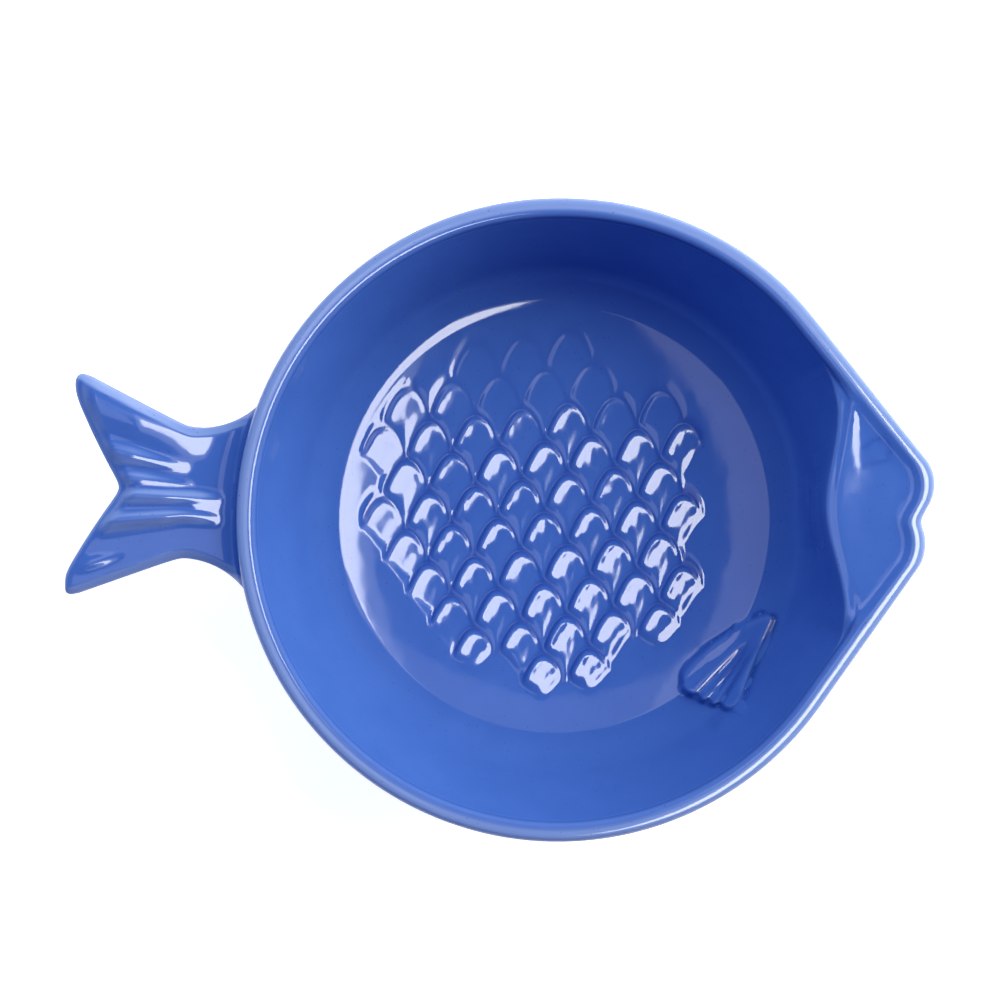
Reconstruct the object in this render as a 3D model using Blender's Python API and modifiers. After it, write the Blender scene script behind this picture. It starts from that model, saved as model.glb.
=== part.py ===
"""Fish-shaped serving bowl in glazed stoneware, seen from above as a round fish.

The fired clay body is one casting: a round bowl whose rim runs out into a head with two lips
on one side and into a forked tail on the other, with a bed of scales, a fin and an eye moulded
in low relief. A coat of blue glaze covers it down to the wiped foot ring, and a second pool of
glaze fills the recess inside the foot ring.

The upper side is draped over feature lines drawn in plan, each with its own height. The outside
is a loft from the fish outline down to the round foot, and the tail is extruded from the wall.
"""

import math

import bmesh
import bpy
from mathutils import Vector
from mathutils.geometry import delaunay_2d_cdt

# Bowl, in metres. The bowl's own axis is at x = 0, y = 0 while it is modelled.
BOWL_RADIUS = 0.0905
BOWL_HEIGHT = 0.050
RIM_THICKNESS = 0.0056
WALL_THICKNESS = 0.0055
WALL_RUN = 0.0229
FLOOR_FILLET = 0.014
FLOOR_DISH = 0.0022
DISH_POWER = 3.4

# Foot ring
FOOT_SETBACK = 0.006
FOOT_HEIGHT = 0.0025
FOOT_WIDTH = 0.005
FOOT_COVE = 0.001
FOOT_BEVEL = 0.0004

# Glaze
GLAZE_THICKNESS = 0.0005
GLAZE_GAP = 0.0003
GLAZE_SKIRT = 0.0004

# Head: each lip is a circle in plan, and the head's sides are tangents from the bowl to the lips.
# The nape, between the back and the head, bulges a little past its tangent.
UPPER_LIP_REACH = 0.0158
UPPER_LIP_RADIUS = 0.0113
UPPER_LIP_ANGLE = 6.0
LOWER_LIP_REACH = 0.0131
LOWER_LIP_RADIUS = 0.0124
LOWER_LIP_ANGLE = -4.2
MOUTH_SOFTNESS = 0.0019
NAPE_BULGE = 0.0012
NAPE_ANGLE = 44.0
NAPE_SPREAD = 50.0

# Brow: the wavy inner edge of the head's level top.
HEAD_DROP = 0.0017
HEAD_LEVEL_RUN = 0.004
BROW_RISE = 0.0022
BROW_DEPTH = 0.0115
BROW_CENTRE = 2.0
BROW_SPREAD = 28.0
BROW_ROUND = 0.003
BROW_LEAN = 0.0010
BROW_BLEND = 0.0015

# Eye
EYE_SETBACK = 0.0105
EYE_ANGLE = 12.1
EYE_RADIUS = 0.0036
EYE_BEVEL = 0.0011
EYE_LIFT = 0.0003
EYE_SIDES = 10

# Tail, about its own axis, which is a ray from the bowl's axis.
TAIL_ANGLE = 175.8
TAIL_LENGTH = 0.0518
TAIL_FORK = 0.0183
TAIL_SKEW = -0.0004
TAIL_ROOT_WIDTH = 0.053
TAIL_WAIST_WIDTH = 0.0366
TAIL_WAIST_SETBACK = 0.0135
TAIL_FLARE = 0.44
TAIL_FLARE_START = 0.002
TAIL_ROOT_FILLET = 0.0236
TAIL_DROP = 0.0020
TAIL_RISE = 0.0032
TAIL_RISE_LEAN = 0.35
TAIL_THICKNESS = 0.009
TAIL_ROOT_DEPTH = 0.003
TAIL_ROOT_BLEND = 0.2
TAIL_FORK_ROUND = 0.14
TAIL_TIP_ROUND = 0.0090
TAIL_TIP_SHARE = 0.69
TAIL_EDGE_ROUND = 0.0022
TAIL_SIDE_BAND = 0.6
TAIL_END_BAND = 0.5
TAIL_RAY_HEIGHT = 0.0002
TAIL_RAY_START = 0.3
TAIL_RAYS = 5

# Scales: a slanting lattice of plates in a shallow bed, each high at its rounded top and low at its foot.
SCALE_STEP_RIGHT = (0.00662, -0.00942)
SCALE_STEP_LEFT = (-0.00682, -0.01116)
SCALE_ORIGIN = (-0.01045, -0.00769)
SCALE_FIELD_CENTRE = (-0.0085, -0.0008)
SCALE_FIELD_RADIUS = 0.0505
SCALE_FIELD_MARGIN = 0.0015
SCALE_BED_DEPTH = 0.0005
SCALE_TOP_LIFT = 0.0014
SCALE_FOOT_LIFT = 0.0004
SCALE_TOP_ROUND = 0.0045
SCALE_TOP_EDGE = 0.0048
SCALE_GROOVE = 0.0007
SCALE_SHOULDER = 0.42
SCALE_BOW = 0.10
SCALE_FADE_START = 0.020
SCALE_FADE_LENGTH = 0.030
SCALE_LEAST_SHARE = 0.30

# Fin: rays that spread from a tip beside the head, over the floor's fillet.
FIN_TIP_SETBACK = 0.0217
FIN_TIP_ANGLE = -24.3
FIN_AXIS_ANGLE = 231.0
FIN_SPREAD = 31.0
FIN_LONG_SIDE = 0.0325
FIN_SHORT_SIDE = 0.0270
FIN_RAYS = 4
FIN_LIFT = 0.0019
FIN_VALLEY_LIFT = 0.0010
FIN_END_SHARE = 0.7
FIN_CREST_SHARE = 0.5
FIN_LOBE = 0.0016
FIN_MARGIN = 0.0009

# Facets
ROUND_STEP = 7.0
HEAD_STEP = 5.0
MOUTH_STEP = 1.8
HEAD_HALF_ANGLE = 41.0
MOUTH_ANGLES = (-9.0, 11.0)
FILLET_STEPS = 3
FLOOR_BEND_SHARE = 0.85
FLOOR_BEND_ANGLE = 45.0
FLOOR_BEND_STEP = 9.0
TAIL_COLUMNS = 10
TAIL_STATIONS = (0.07, 0.16, 0.32, 0.55, 0.8)
TAIL_ROWS = slice(2, 5)
SHARP_ANGLE = 40.0
FILLET_LIMIT = 0.95
PLAN_SCALE = 1000.0
PLAN_TOLERANCE = 1e-4

# Colours and roughness
GLAZE_BLUE = (0.040, 0.125, 0.470, 1.0)
GLAZE_ROUGHNESS = 0.12
BARE_CLAY = (0.62, 0.56, 0.47, 1.0)
CLAY_ROUGHNESS = 0.75

RIM_HALF = RIM_THICKNESS / 2
RIM_DIAGONAL = RIM_HALF * math.sqrt(0.5)
LEDGE_HEIGHT = BOWL_HEIGHT - RIM_HALF
FLOOR_RADIUS = BOWL_RADIUS - RIM_THICKNESS - WALL_RUN
FLOOR_HEIGHT = FOOT_HEIGHT + WALL_THICKNESS
FLOOR_SLOPE = math.atan(FLOOR_DISH * DISH_POWER / FLOOR_RADIUS)
FOOT_RADIUS = FLOOR_RADIUS - FOOT_SETBACK
GLAZE_LINE = FOOT_HEIGHT - FOOT_COVE - GLAZE_SKIRT
SKIN_DEPTH = GLAZE_THICKNESS + GLAZE_GAP
TAIL_TOP = LEDGE_HEIGHT - TAIL_DROP
TAIL_MIDDLE = TAIL_TOP - TAIL_THICKNESS / 2
TAIL_LOW = TAIL_TOP - TAIL_THICKNESS - TAIL_ROOT_DEPTH


def polar(radius, degrees):
    """The plan point at a radius and an angle about the bowl's axis."""
    return Vector((radius * math.cos(math.radians(degrees)), radius * math.sin(math.radians(degrees))))


def turned(degrees):
    """An angle brought into the range from -180 to 180 degrees."""
    return (degrees + 180.0) % 360.0 - 180.0


def smooth_step(value):
    """0 below 0, 1 above 1 and an even blend between them."""
    value = min(max(value, 0.0), 1.0)
    return value * value * (3.0 - 2.0 * value)


def smooth_max(first, second, softness):
    """The larger of two lengths, rounded where they cross."""
    gap = max(softness - abs(first - second), 0.0) / softness
    return max(first, second) + gap * gap * softness / 4


def lip_outline(degrees, reach, radius, lip_angle):
    """Radius of the hull round the bowl's circle and one lip's circle."""
    centre = BOWL_RADIUS + reach - radius
    half_hull = math.acos((BOWL_RADIUS - radius) / centre)
    off_axis = math.radians(abs(turned(degrees - lip_angle)))
    if off_axis >= half_hull:
        return BOWL_RADIUS
    touch = math.atan2(radius * math.sin(half_hull), centre + radius * math.cos(half_hull))
    if off_axis >= touch:
        return BOWL_RADIUS / math.cos(half_hull - off_axis)
    across = centre * math.sin(off_axis)
    return centre * math.cos(off_axis) + math.sqrt(radius * radius - across * across)


def outline(degrees):
    """Radius of the rim's outer edge, head included and tail left out."""
    upper = lip_outline(degrees, UPPER_LIP_REACH, UPPER_LIP_RADIUS, UPPER_LIP_ANGLE)
    lower = lip_outline(degrees, LOWER_LIP_REACH, LOWER_LIP_RADIUS, LOWER_LIP_ANGLE)
    off_nape = min(abs(turned(degrees - NAPE_ANGLE)) / NAPE_SPREAD, 1.0)
    nape = NAPE_BULGE * math.cos(math.pi / 2 * off_nape) ** 2
    near_mouth = smooth_step(1.0 - abs(turned(degrees)) / MOUTH_ANGLES[1])
    softness = MOUTH_SOFTNESS * near_mouth
    if softness > 0.0:
        return smooth_max(upper, lower, softness) + nape
    return max(upper, lower) + nape


def rim_inner(degrees):
    """Radius of the rim bead's inner edge."""
    return outline(degrees) - RIM_THICKNESS


def hollow_edge(degrees):
    """Radius of the hollow's top edge: the rim's inner edge, drawn in along the brow at the head."""
    inner = rim_inner(degrees)
    off_axis = abs(turned(degrees - BROW_CENTRE))
    if off_axis >= BROW_SPREAD:
        return inner
    wave = (1.0 + math.cos(math.pi * off_axis / BROW_SPREAD)) / 2
    brow = BOWL_RADIUS - RIM_THICKNESS + BROW_RISE - BROW_DEPTH * wave
    return -smooth_max(-inner, -brow, BROW_BLEND)


def ledge_height(degrees):
    """Height of the rim's inner edge, which the head's level top lifts where it is wide."""
    wide = smooth_step((rim_inner(degrees) - hollow_edge(degrees)) / HEAD_LEVEL_RUN)
    return LEDGE_HEIGHT + (BOWL_HEIGHT - HEAD_DROP - LEDGE_HEIGHT) * wide


def floor_height(radius):
    """Height of the dished floor at a radius."""
    return FLOOR_HEIGHT + FLOOR_DISH * (min(radius, FLOOR_RADIUS) / FLOOR_RADIUS) ** DISH_POWER


def fillet_points(edge, centre, fillet, floor_angle):
    """Section points from where a wall meets the floor's fillet, round it to the floor."""
    across = edge[0] - centre[0]
    up = edge[1] - centre[1]
    leaving = math.atan2(up, across) - math.acos(fillet / math.hypot(across, up))
    points = []
    for step in range(FILLET_STEPS + 1):
        angle = leaving + (floor_angle - leaving) * step / FILLET_STEPS
        points.append((centre[0] + fillet * math.cos(angle), centre[1] + fillet * math.sin(angle)))
    return points


def inner_section(degrees):
    """Section points of the upper side at one angle, from the rim's crest in to the floor."""
    edge = outline(degrees)
    ledge = ledge_height(degrees)
    wall_top = (hollow_edge(degrees) - BROW_LEAN, ledge - BROW_ROUND)
    fillet = min(FLOOR_FILLET, FILLET_LIMIT * (wall_top[0] - FLOOR_RADIUS))
    centre_radius = FLOOR_RADIUS - fillet * math.sin(FLOOR_SLOPE)
    centre = (centre_radius, floor_height(FLOOR_RADIUS) + fillet * math.cos(FLOOR_SLOPE))
    return [
        (edge - RIM_HALF, BOWL_HEIGHT),
        (edge - RIM_HALF - RIM_DIAGONAL, LEDGE_HEIGHT + RIM_DIAGONAL),
        (edge - RIM_THICKNESS, ledge),
        wall_top,
        *fillet_points(wall_top, centre, fillet, FLOOR_SLOPE - math.pi / 2),
    ]


def outer_section(degrees):
    """Section points of the outside at one angle, from beside the crest down to the glaze line."""
    edge = outline(degrees)
    fillet = FLOOR_FILLET + WALL_THICKNESS
    centre = (FLOOR_RADIUS, FLOOR_HEIGHT + FLOOR_FILLET)
    rounding = fillet_points((edge, LEDGE_HEIGHT), centre, fillet, -math.pi / 2)
    wall_radius, wall_height = rounding[0]
    tail_rows = []
    for height in (TAIL_TOP, TAIL_MIDDLE, TAIL_LOW):
        share = (height - wall_height) / (LEDGE_HEIGHT - wall_height)
        tail_rows.append((wall_radius + (edge - wall_radius) * share, height))
    return [
        (edge - RIM_HALF + RIM_DIAGONAL, LEDGE_HEIGHT + RIM_DIAGONAL),
        (edge, LEDGE_HEIGHT),
        *tail_rows,
        *rounding,
        (FOOT_RADIUS + FOOT_COVE, FOOT_HEIGHT),
        (FOOT_RADIUS, FOOT_HEIGHT - FOOT_COVE),
        (FOOT_RADIUS, GLAZE_LINE),
    ]


def base_height(point):
    """Height of the plain upper side, without relief, at a plan point."""
    degrees = math.degrees(math.atan2(point.y, point.x))
    section = inner_section(degrees)
    radius = point.length
    for (outer, high), (inner, low) in zip(section, section[1:]):
        if radius >= inner:
            return low + (high - low) * min((radius - inner) / max(outer - inner, PLAN_TOLERANCE), 1.0)
    return floor_height(radius)


def spread_angles(start, end, step):
    """Angles from start up to, but not including, end, in equal steps of at most about one step."""
    count = max(1, round((end - start) / step))
    return [start + (end - start) * index / count for index in range(count)]


def tail_shares():
    """Places of the tail's columns across it, from -1 to 1 and closer together toward its edges."""
    turns = [2.0 * column / TAIL_COLUMNS - 1.0 for column in range(TAIL_COLUMNS + 1)]
    return [math.sin(math.pi / 2 * turn) for turn in turns]


def tail_root_angles():
    """Angles of the columns over which the tail joins the wall."""
    offsets = [TAIL_ROOT_WIDTH / 2 * share for share in tail_shares()]
    return [TAIL_ANGLE + math.degrees(math.asin(offset / BOWL_RADIUS)) for offset in offsets]


def column_angles():
    """All column angles, and the index of the tail's first column."""
    tail = tail_root_angles()
    angles = spread_angles(-HEAD_HALF_ANGLE, MOUTH_ANGLES[0], HEAD_STEP)
    angles += spread_angles(MOUTH_ANGLES[0], MOUTH_ANGLES[1], MOUTH_STEP)
    angles += spread_angles(MOUTH_ANGLES[1], HEAD_HALF_ANGLE, HEAD_STEP)
    angles += spread_angles(HEAD_HALF_ANGLE, tail[0], ROUND_STEP)
    first = len(angles)
    angles += tail
    angles += spread_angles(tail[-1], 360.0 - HEAD_HALF_ANGLE, ROUND_STEP)[1:]
    return angles, first


def inside(point, corners):
    """Whether a plan point lies inside a closed outline."""
    found = False
    for start, end in zip(corners, corners[1:] + corners[:1]):
        if (start.y > point.y) != (end.y > point.y):
            crossing = start.x + (point.y - start.y) * (end.x - start.x) / (end.y - start.y)
            if point.x < crossing:
                found = not found
    return found


def overlap(first, second):
    """Whether either of two small outlines has a corner inside the other."""
    within = any(inside(corner, second) for corner in first)
    return within or any(inside(corner, first) for corner in second)


class Drape:
    """Feature lines in plan, with heights, that become one triangulated sheet."""

    def __init__(self):
        self.points = []
        self.heights = []
        self.edges = []
        self.islands = []

    def add_point(self, point, height):
        """Adds one plan point with its height, and returns its index."""
        self.points.append(point)
        self.heights.append(height)
        return len(self.points) - 1

    def add_line(self, points, heights, closed=False):
        """Adds a line or a loop of points, and returns their indices."""
        indices = [self.add_point(point, height) for point, height in zip(points, heights)]
        self.edges += list(zip(indices, indices[1:]))
        if closed:
            self.edges.append((indices[-1], indices[0]))
        return indices

    def add_relief(self, corners):
        """Adds the outline of a raised feature, which later lines keep out of."""
        self.islands.append(corners)
        return self.add_line(corners, [base_height(corner) for corner in corners], closed=True)

    def is_open(self, start, end):
        """Whether the stretch between two plan points keeps clear of every raised feature."""
        tests = [start.lerp(end, quarter / 4) for quarter in range(5)]
        return not any(inside(test, corners) for corners in self.islands for test in tests)

    def add_contour(self, points, heights, closed=True):
        """Adds a contour of the plain form, broken where a raised feature covers it."""
        kept = {}
        for index, point in enumerate(points):
            if self.is_open(point, point):
                kept[index] = self.add_point(point, heights[index])
        count = len(points)
        for index in range(count if closed else count - 1):
            after = (index + 1) % count
            if index in kept and after in kept and self.is_open(points[index], points[after]):
                self.edges.append((kept[index], kept[after]))
        return kept

    def build(self, mesh, boundary):
        """Triangulates the lines inside a boundary loop, and returns the vertices by point index."""
        flat = [point * PLAN_SCALE for point in self.points]
        limits = [flat[index] for index in boundary]
        places, _, faces, sources, _, _ = delaunay_2d_cdt(flat, self.edges, [], 1, PLAN_TOLERANCE, True)
        made = []
        by_point = {}
        for place, source in zip(places, sources):
            spot = place / PLAN_SCALE
            height = self.heights[source[0]] if source else base_height(spot)
            made.append(mesh.verts.new((spot.x, spot.y, height)))
            by_point.update({index: made[-1] for index in source})
        for face in faces:
            if inside(sum((places[index] for index in face), Vector((0.0, 0.0))) / len(face), limits):
                mesh.faces.new([made[index] for index in face])
        return by_point


def scale_corner(right, left):
    """Plan point of the scale lattice, counted in steps down to the right and down to the left."""
    origin = Vector(SCALE_ORIGIN)
    return origin + Vector(SCALE_STEP_RIGHT) * right + Vector(SCALE_STEP_LEFT) * left


def scale_ring(right, left):
    """Lattice keys round one cell from its top tip, with bowed edges that tile with the next cells."""
    bow = SCALE_BOW
    return [
        (right, left),
        (right + 0.5, left - bow),
        (right + 1.0, left),
        (right + 1.0 - bow, left + 0.5),
        (right + 1.0, left + 1.0),
        (right + 0.5, left + 1.0 - bow),
        (right, left + 1.0),
        (right - bow, left + 0.5),
    ]


def scale_cells(islands):
    """Lattice cells that lie whole on the floor, inside the scale field and clear of the fin."""
    centre = Vector(SCALE_FIELD_CENTRE)
    least_step = min(Vector(SCALE_STEP_RIGHT).length, Vector(SCALE_STEP_LEFT).length)
    reach = math.ceil(2.0 * SCALE_FIELD_RADIUS / least_step)
    cells = []
    for right in range(-reach, reach):
        for left in range(-reach, reach):
            if (scale_corner(right + 0.5, left + 0.5) - centre).length > SCALE_FIELD_RADIUS:
                continue
            corners = [scale_corner(*key) for key in scale_ring(right, left)]
            if max(corner.length for corner in corners) > FLOOR_RADIUS - SCALE_FIELD_MARGIN:
                continue
            if any(overlap(corners, island) for island in islands):
                continue
            cells.append((right, left))
    return cells


def scale_lift(across, along):
    """Lift of a plate over its groove, at a place in its cell counted from its top tip."""
    right, left = Vector(SCALE_STEP_RIGHT), Vector(SCALE_STEP_LEFT)
    area = abs(right.cross(left))
    short = [max(SCALE_TOP_ROUND - across * area / left.length, 0.0)]
    short.append(max(SCALE_TOP_ROUND - along * area / right.length, 0.0))
    from_top = SCALE_TOP_ROUND - math.hypot(*short)
    rise = min(max((from_top - SCALE_GROOVE) / SCALE_TOP_EDGE, 0.0), 1.0)
    lift = SCALE_TOP_LIFT + (SCALE_FOOT_LIFT - SCALE_TOP_LIFT) * (across + along) / 2
    return lift * rise * (2.0 - rise)


def scale_height(key, cell, lifted):
    """Height of a lattice place over one cell's bed, on its plate where it is lifted."""
    spot = scale_corner(*key)
    worn = smooth_step((spot.y - SCALE_FADE_START) / SCALE_FADE_LENGTH)
    lift = scale_lift(key[0] - cell[0], key[1] - cell[1]) if lifted else 0.0
    relief = (lift - SCALE_BED_DEPTH) * (1.0 - (1.0 - SCALE_LEAST_SHARE) * worn)
    return floor_height(spot.length) + relief


def add_scales(drape):
    """Adds the grooves between scales in their bed and a raised plate in each cell."""
    grooves = {}
    for cell in scale_cells(drape.islands):
        ring = scale_ring(*cell)
        for key in ring:
            if key not in grooves:
                grooves[key] = drape.add_point(scale_corner(*key), scale_height(key, cell, False))
        drape.edges += [(grooves[start], grooves[end]) for start, end in zip(ring, ring[1:] + ring[:1])]
        middle = (cell[0] + 0.5, cell[1] + 0.5)
        shoulder = [Vector(key).lerp(middle, SCALE_SHOULDER) for key in ring]
        spots = [scale_corner(*key) for key in shoulder]
        drape.add_line(spots, [scale_height(key, cell, True) for key in shoulder], closed=True)
        drape.add_point(scale_corner(*middle), scale_height(middle, cell, True))


def fin_point(share, turn):
    """Plan point of the fin at a share of its length, with turn from 0 on its long side to 1."""
    tip = polar(BOWL_RADIUS - FIN_TIP_SETBACK, FIN_TIP_ANGLE)
    length = FIN_LONG_SIDE + (FIN_SHORT_SIDE - FIN_LONG_SIDE) * turn
    return tip + polar(length * share, FIN_AXIS_ANGLE + FIN_SPREAD * (turn - 0.5))


def add_fin(drape):
    """Adds the fin: a lobed outline on the plain form, with raised rays and valleys inside it."""
    lobe_share = FIN_LOBE / FIN_LONG_SIDE
    margin = FIN_MARGIN / FIN_LONG_SIDE
    slots = 2 * FIN_RAYS
    outer = [fin_point(-margin, 0.5), fin_point(FIN_CREST_SHARE, -margin * 2), fin_point(1.0, -margin)]
    for slot in range(1, slots):
        share = 1.0 + margin + lobe_share * (slot % 2) - lobe_share / 2
        outer.append(fin_point(share, slot / slots))
    outer += [fin_point(1.0, 1.0 + margin), fin_point(FIN_CREST_SHARE, 1.0 + margin * 2)]
    drape.add_relief(outer)
    tip = fin_point(margin, 0.5)
    tip_index = drape.add_point(tip, base_height(tip) + FIN_VALLEY_LIFT / 2)
    for slot in range(1, slots):
        lift = FIN_LIFT if slot % 2 else FIN_VALLEY_LIFT
        end_share = 1.0 - margin + lobe_share * (slot % 2) - lobe_share / 2
        spots = [fin_point(share, slot / slots) for share in (FIN_CREST_SHARE, end_share)]
        heights = [base_height(spots[0]) + lift, base_height(spots[1]) + lift * FIN_END_SHARE]
        line = drape.add_line(spots, heights)
        drape.edges.append((tip_index, line[0]))


def add_eye(drape):
    """Adds the eye, a low round boss on the head's level top."""
    centre = polar(outline(EYE_ANGLE) - EYE_SETBACK, EYE_ANGLE)
    turns = [360.0 * side / EYE_SIDES for side in range(EYE_SIDES)]
    drape.add_relief([centre + polar(EYE_RADIUS, turn) for turn in turns])
    ring = [centre + polar(EYE_RADIUS - EYE_BEVEL, turn) for turn in turns]
    drape.add_line(ring, [base_height(spot) + EYE_LIFT for spot in ring], closed=True)
    drape.add_point(centre, base_height(centre) + EYE_LIFT)


def upper_side(mesh, angles):
    """Drapes the upper side inside the rim's crest, and returns the crest's vertices in order."""
    drape = Drape()
    add_eye(drape)
    add_fin(drape)
    sections = [inner_section(degrees) for degrees in angles]
    crest = []
    for row in range(len(sections[0])):
        points = [polar(section[row][0], degrees) for section, degrees in zip(sections, angles)]
        kept = drape.add_contour(points, [section[row][1] for section in sections])
        if row == 0:
            crest = [kept[index] for index in range(len(angles))]
    add_ledge(drape, angles)
    add_floor_bend(drape)
    add_scales(drape)
    by_point = drape.build(mesh, crest)
    return [by_point[index] for index in crest]


def add_ledge(drape, angles):
    """Adds the outer edge of the brow's rounding, where the head's level top is wide enough."""
    wide = [degrees for degrees in angles if rim_inner(degrees) - hollow_edge(degrees) > BROW_ROUND]
    wide.sort(key=turned)
    points = [polar(hollow_edge(degrees) + BROW_LEAN, degrees) for degrees in wide]
    drape.add_contour(points, [ledge_height(degrees) for degrees in wide], closed=False)


def add_floor_bend(drape):
    """Adds the bend of the dished floor beside the head, where no scales carry it."""
    radius = FLOOR_RADIUS * FLOOR_BEND_SHARE
    angles = spread_angles(-FLOOR_BEND_ANGLE, FLOOR_BEND_ANGLE + FLOOR_BEND_STEP, FLOOR_BEND_STEP)
    points = [polar(radius, degrees) for degrees in angles]
    drape.add_contour(points, [floor_height(radius)] * len(points), closed=False)


def ring_edges(ring):
    """The edges between neighbouring vertices of a closed ring."""
    edges = []
    for start, end in zip(ring, ring[1:] + ring[:1]):
        edges.append(next(edge for edge in start.link_edges if edge.other_vert(start) == end))
    return edges


def extrude_ring(mesh, ring, places):
    """Extrudes a closed ring to new places, and returns the new ring in the same order."""
    made = bmesh.ops.extrude_edge_only(mesh, edges=ring_edges(ring))
    fresh = {item for item in made["geom"] if isinstance(item, bmesh.types.BMVert)}
    following = []
    for vertex, place in zip(ring, places):
        ends = [edge.other_vert(vertex) for edge in vertex.link_edges]
        after = next(end for end in ends if end in fresh)
        after.co = place
        following.append(after)
    return following


def outside(mesh, crest, angles):
    """Lofts the outside down from the crest, and returns its rings from top to glaze line."""
    sections = [outer_section(degrees) for degrees in angles]
    rings = []
    ring = crest
    for row in range(len(sections[0])):
        places = []
        for section, degrees in zip(sections, angles):
            places.append(polar(section[row][0], degrees).to_3d() + Vector((0.0, 0.0, section[row][1])))
        ring = extrude_ring(mesh, ring, places)
        rings.append(ring)
    return rings


def tail_half_width(reach):
    """Half the tail's width at a distance along its axis from the bowl's axis."""
    past_waist = reach - BOWL_RADIUS - TAIL_WAIST_SETBACK
    half = TAIL_WAIST_WIDTH / 2
    if past_waist >= 0.0:
        return half + TAIL_FLARE * (math.hypot(past_waist, TAIL_FLARE_START) - TAIL_FLARE_START)
    back = min(-past_waist, TAIL_ROOT_FILLET * FILLET_LIMIT)
    return half + TAIL_ROOT_FILLET - math.sqrt(TAIL_ROOT_FILLET**2 - back**2)


def tail_place(column, level, station):
    """Place on the tail's skin: column from -1 to 1 across, level 1 top, 0 edge and -1 underside."""
    share, back, thickness = station
    root = math.sqrt(BOWL_RADIUS**2 - (column * TAIL_ROOT_WIDTH / 2) ** 2)
    tip = BOWL_RADIUS + TAIL_LENGTH
    fork = tip - TAIL_FORK
    spread = math.hypot(column, TAIL_FORK_ROUND) - TAIL_FORK_ROUND
    end = fork + TAIL_FORK * spread / (math.hypot(1.0, TAIL_FORK_ROUND) - TAIL_FORK_ROUND)
    turn = max(abs(column) - TAIL_TIP_SHARE, 0.0) / (1.0 - TAIL_TIP_SHARE)
    end += TAIL_SKEW * column - TAIL_TIP_ROUND * (1.0 - math.sqrt(1.0 - turn * turn))
    reach = root + (end - back - root) * share
    at_side = abs(column) == 1.0
    edge_round = TAIL_EDGE_ROUND * abs(level) / (2 if at_side else 1)
    across = column * (tail_half_width(reach) - edge_round)
    half_depth = TAIL_THICKNESS / 2 * thickness * (TAIL_SIDE_BAND if at_side else 1.0)
    height = TAIL_MIDDLE + level * half_depth
    if level > 0 and not at_side:
        flutes = math.cos(math.pi * TAIL_RAYS * column) * TAIL_RAY_HEIGHT
        height += flutes * thickness * smooth_step(share / TAIL_RAY_START)
    if level < 0:
        height -= TAIL_ROOT_DEPTH * (1.0 - smooth_step(share / TAIL_ROOT_BLEND))
    height += TAIL_RISE * (1.0 - TAIL_RISE_LEAN * column) * max(reach - BOWL_RADIUS, 0.0) / TAIL_LENGTH
    axis = polar(1.0, TAIL_ANGLE)
    side = Vector((-axis.y, axis.x))
    return (axis * reach + side * across).to_3d() + Vector((0.0, 0.0, height))


def add_tail(mesh, rings, first):
    """Opens the wall behind the tail's root, extrudes the tail out of the opening and closes its end."""
    top, middle, low = rings[TAIL_ROWS]
    columns = range(first, first + TAIL_COLUMNS + 1)
    within = {ring[column] for ring in (top, middle, low) for column in columns}
    window = [face for face in mesh.faces if all(vertex in within for vertex in face.verts)]
    bmesh.ops.delete(mesh, geom=window, context="FACES")
    shares = tail_shares()
    loop = [(top[column], share, 1) for column, share in zip(columns, shares)]
    loop.append((middle[first + TAIL_COLUMNS], 1.0, 0))
    loop += [(low[column], share, -1) for column, share in zip(reversed(columns), reversed(shares))]
    loop.append((middle[first], -1.0, 0))
    ring = [entry[0] for entry in loop]
    stations = [(share, TAIL_EDGE_ROUND, 1.0) for share in (*TAIL_STATIONS, 1.0)]
    stations += [(1.0, TAIL_EDGE_ROUND / 3, (1.0 + TAIL_END_BAND) / 2), (1.0, 0.0, TAIL_END_BAND)]
    for station in stations:
        places = [tail_place(share, level, station) for _, share, level in loop]
        ring = extrude_ring(mesh, ring, places)
    edges = ring_edges(ring)
    rows = edges[:TAIL_COLUMNS] + edges[TAIL_COLUMNS + 2:-2]
    bmesh.ops.bridge_loops(mesh, edges=rows)
    bmesh.ops.holes_fill(mesh, edges=[edge for edge in mesh.edges if edge.is_boundary], sides=3)


def skin():
    """The bowl's finished outer surface, open only at the glaze line, with its glaze-line ring."""
    mesh = bmesh.new()
    angles, first = column_angles()
    crest = upper_side(mesh, angles)
    rings = outside(mesh, crest, angles)
    add_tail(mesh, rings, first)
    bmesh.ops.recalc_face_normals(mesh, faces=mesh.faces)
    floor = min(mesh.faces, key=lambda face: face.calc_center_median().xy.length)
    if floor.normal.z < 0.0:
        bmesh.ops.reverse_faces(mesh, faces=mesh.faces)
    mesh.normal_update()
    return mesh, rings[-1]


def clay_mesh():
    """The clay body: the skin set back by the glaze, closed below by the foot ring and its recess."""
    mesh, glaze_line = skin()
    for vertex in mesh.verts:
        vertex.co -= vertex.normal * SKIN_DEPTH
    radius = FOOT_RADIUS - SKIN_DEPTH
    steps = (
        (radius, FOOT_BEVEL),
        (radius - FOOT_BEVEL, 0.0),
        (radius - FOOT_WIDTH, 0.0),
        (radius - FOOT_WIDTH, FOOT_HEIGHT),
    )
    directions = [vertex.co.xy.normalized() for vertex in glaze_line]
    ring = glaze_line
    for ring_radius, height in steps:
        places = [(way * ring_radius).to_3d() + Vector((0.0, 0.0, height)) for way in directions]
        ring = extrude_ring(mesh, ring, places)
    bmesh.ops.contextual_create(mesh, geom=ring_edges(ring))
    bmesh.ops.recalc_face_normals(mesh, faces=mesh.faces)
    if mesh.calc_volume(signed=True) < 0.0:
        bmesh.ops.reverse_faces(mesh, faces=mesh.faces)
    return mesh


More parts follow.
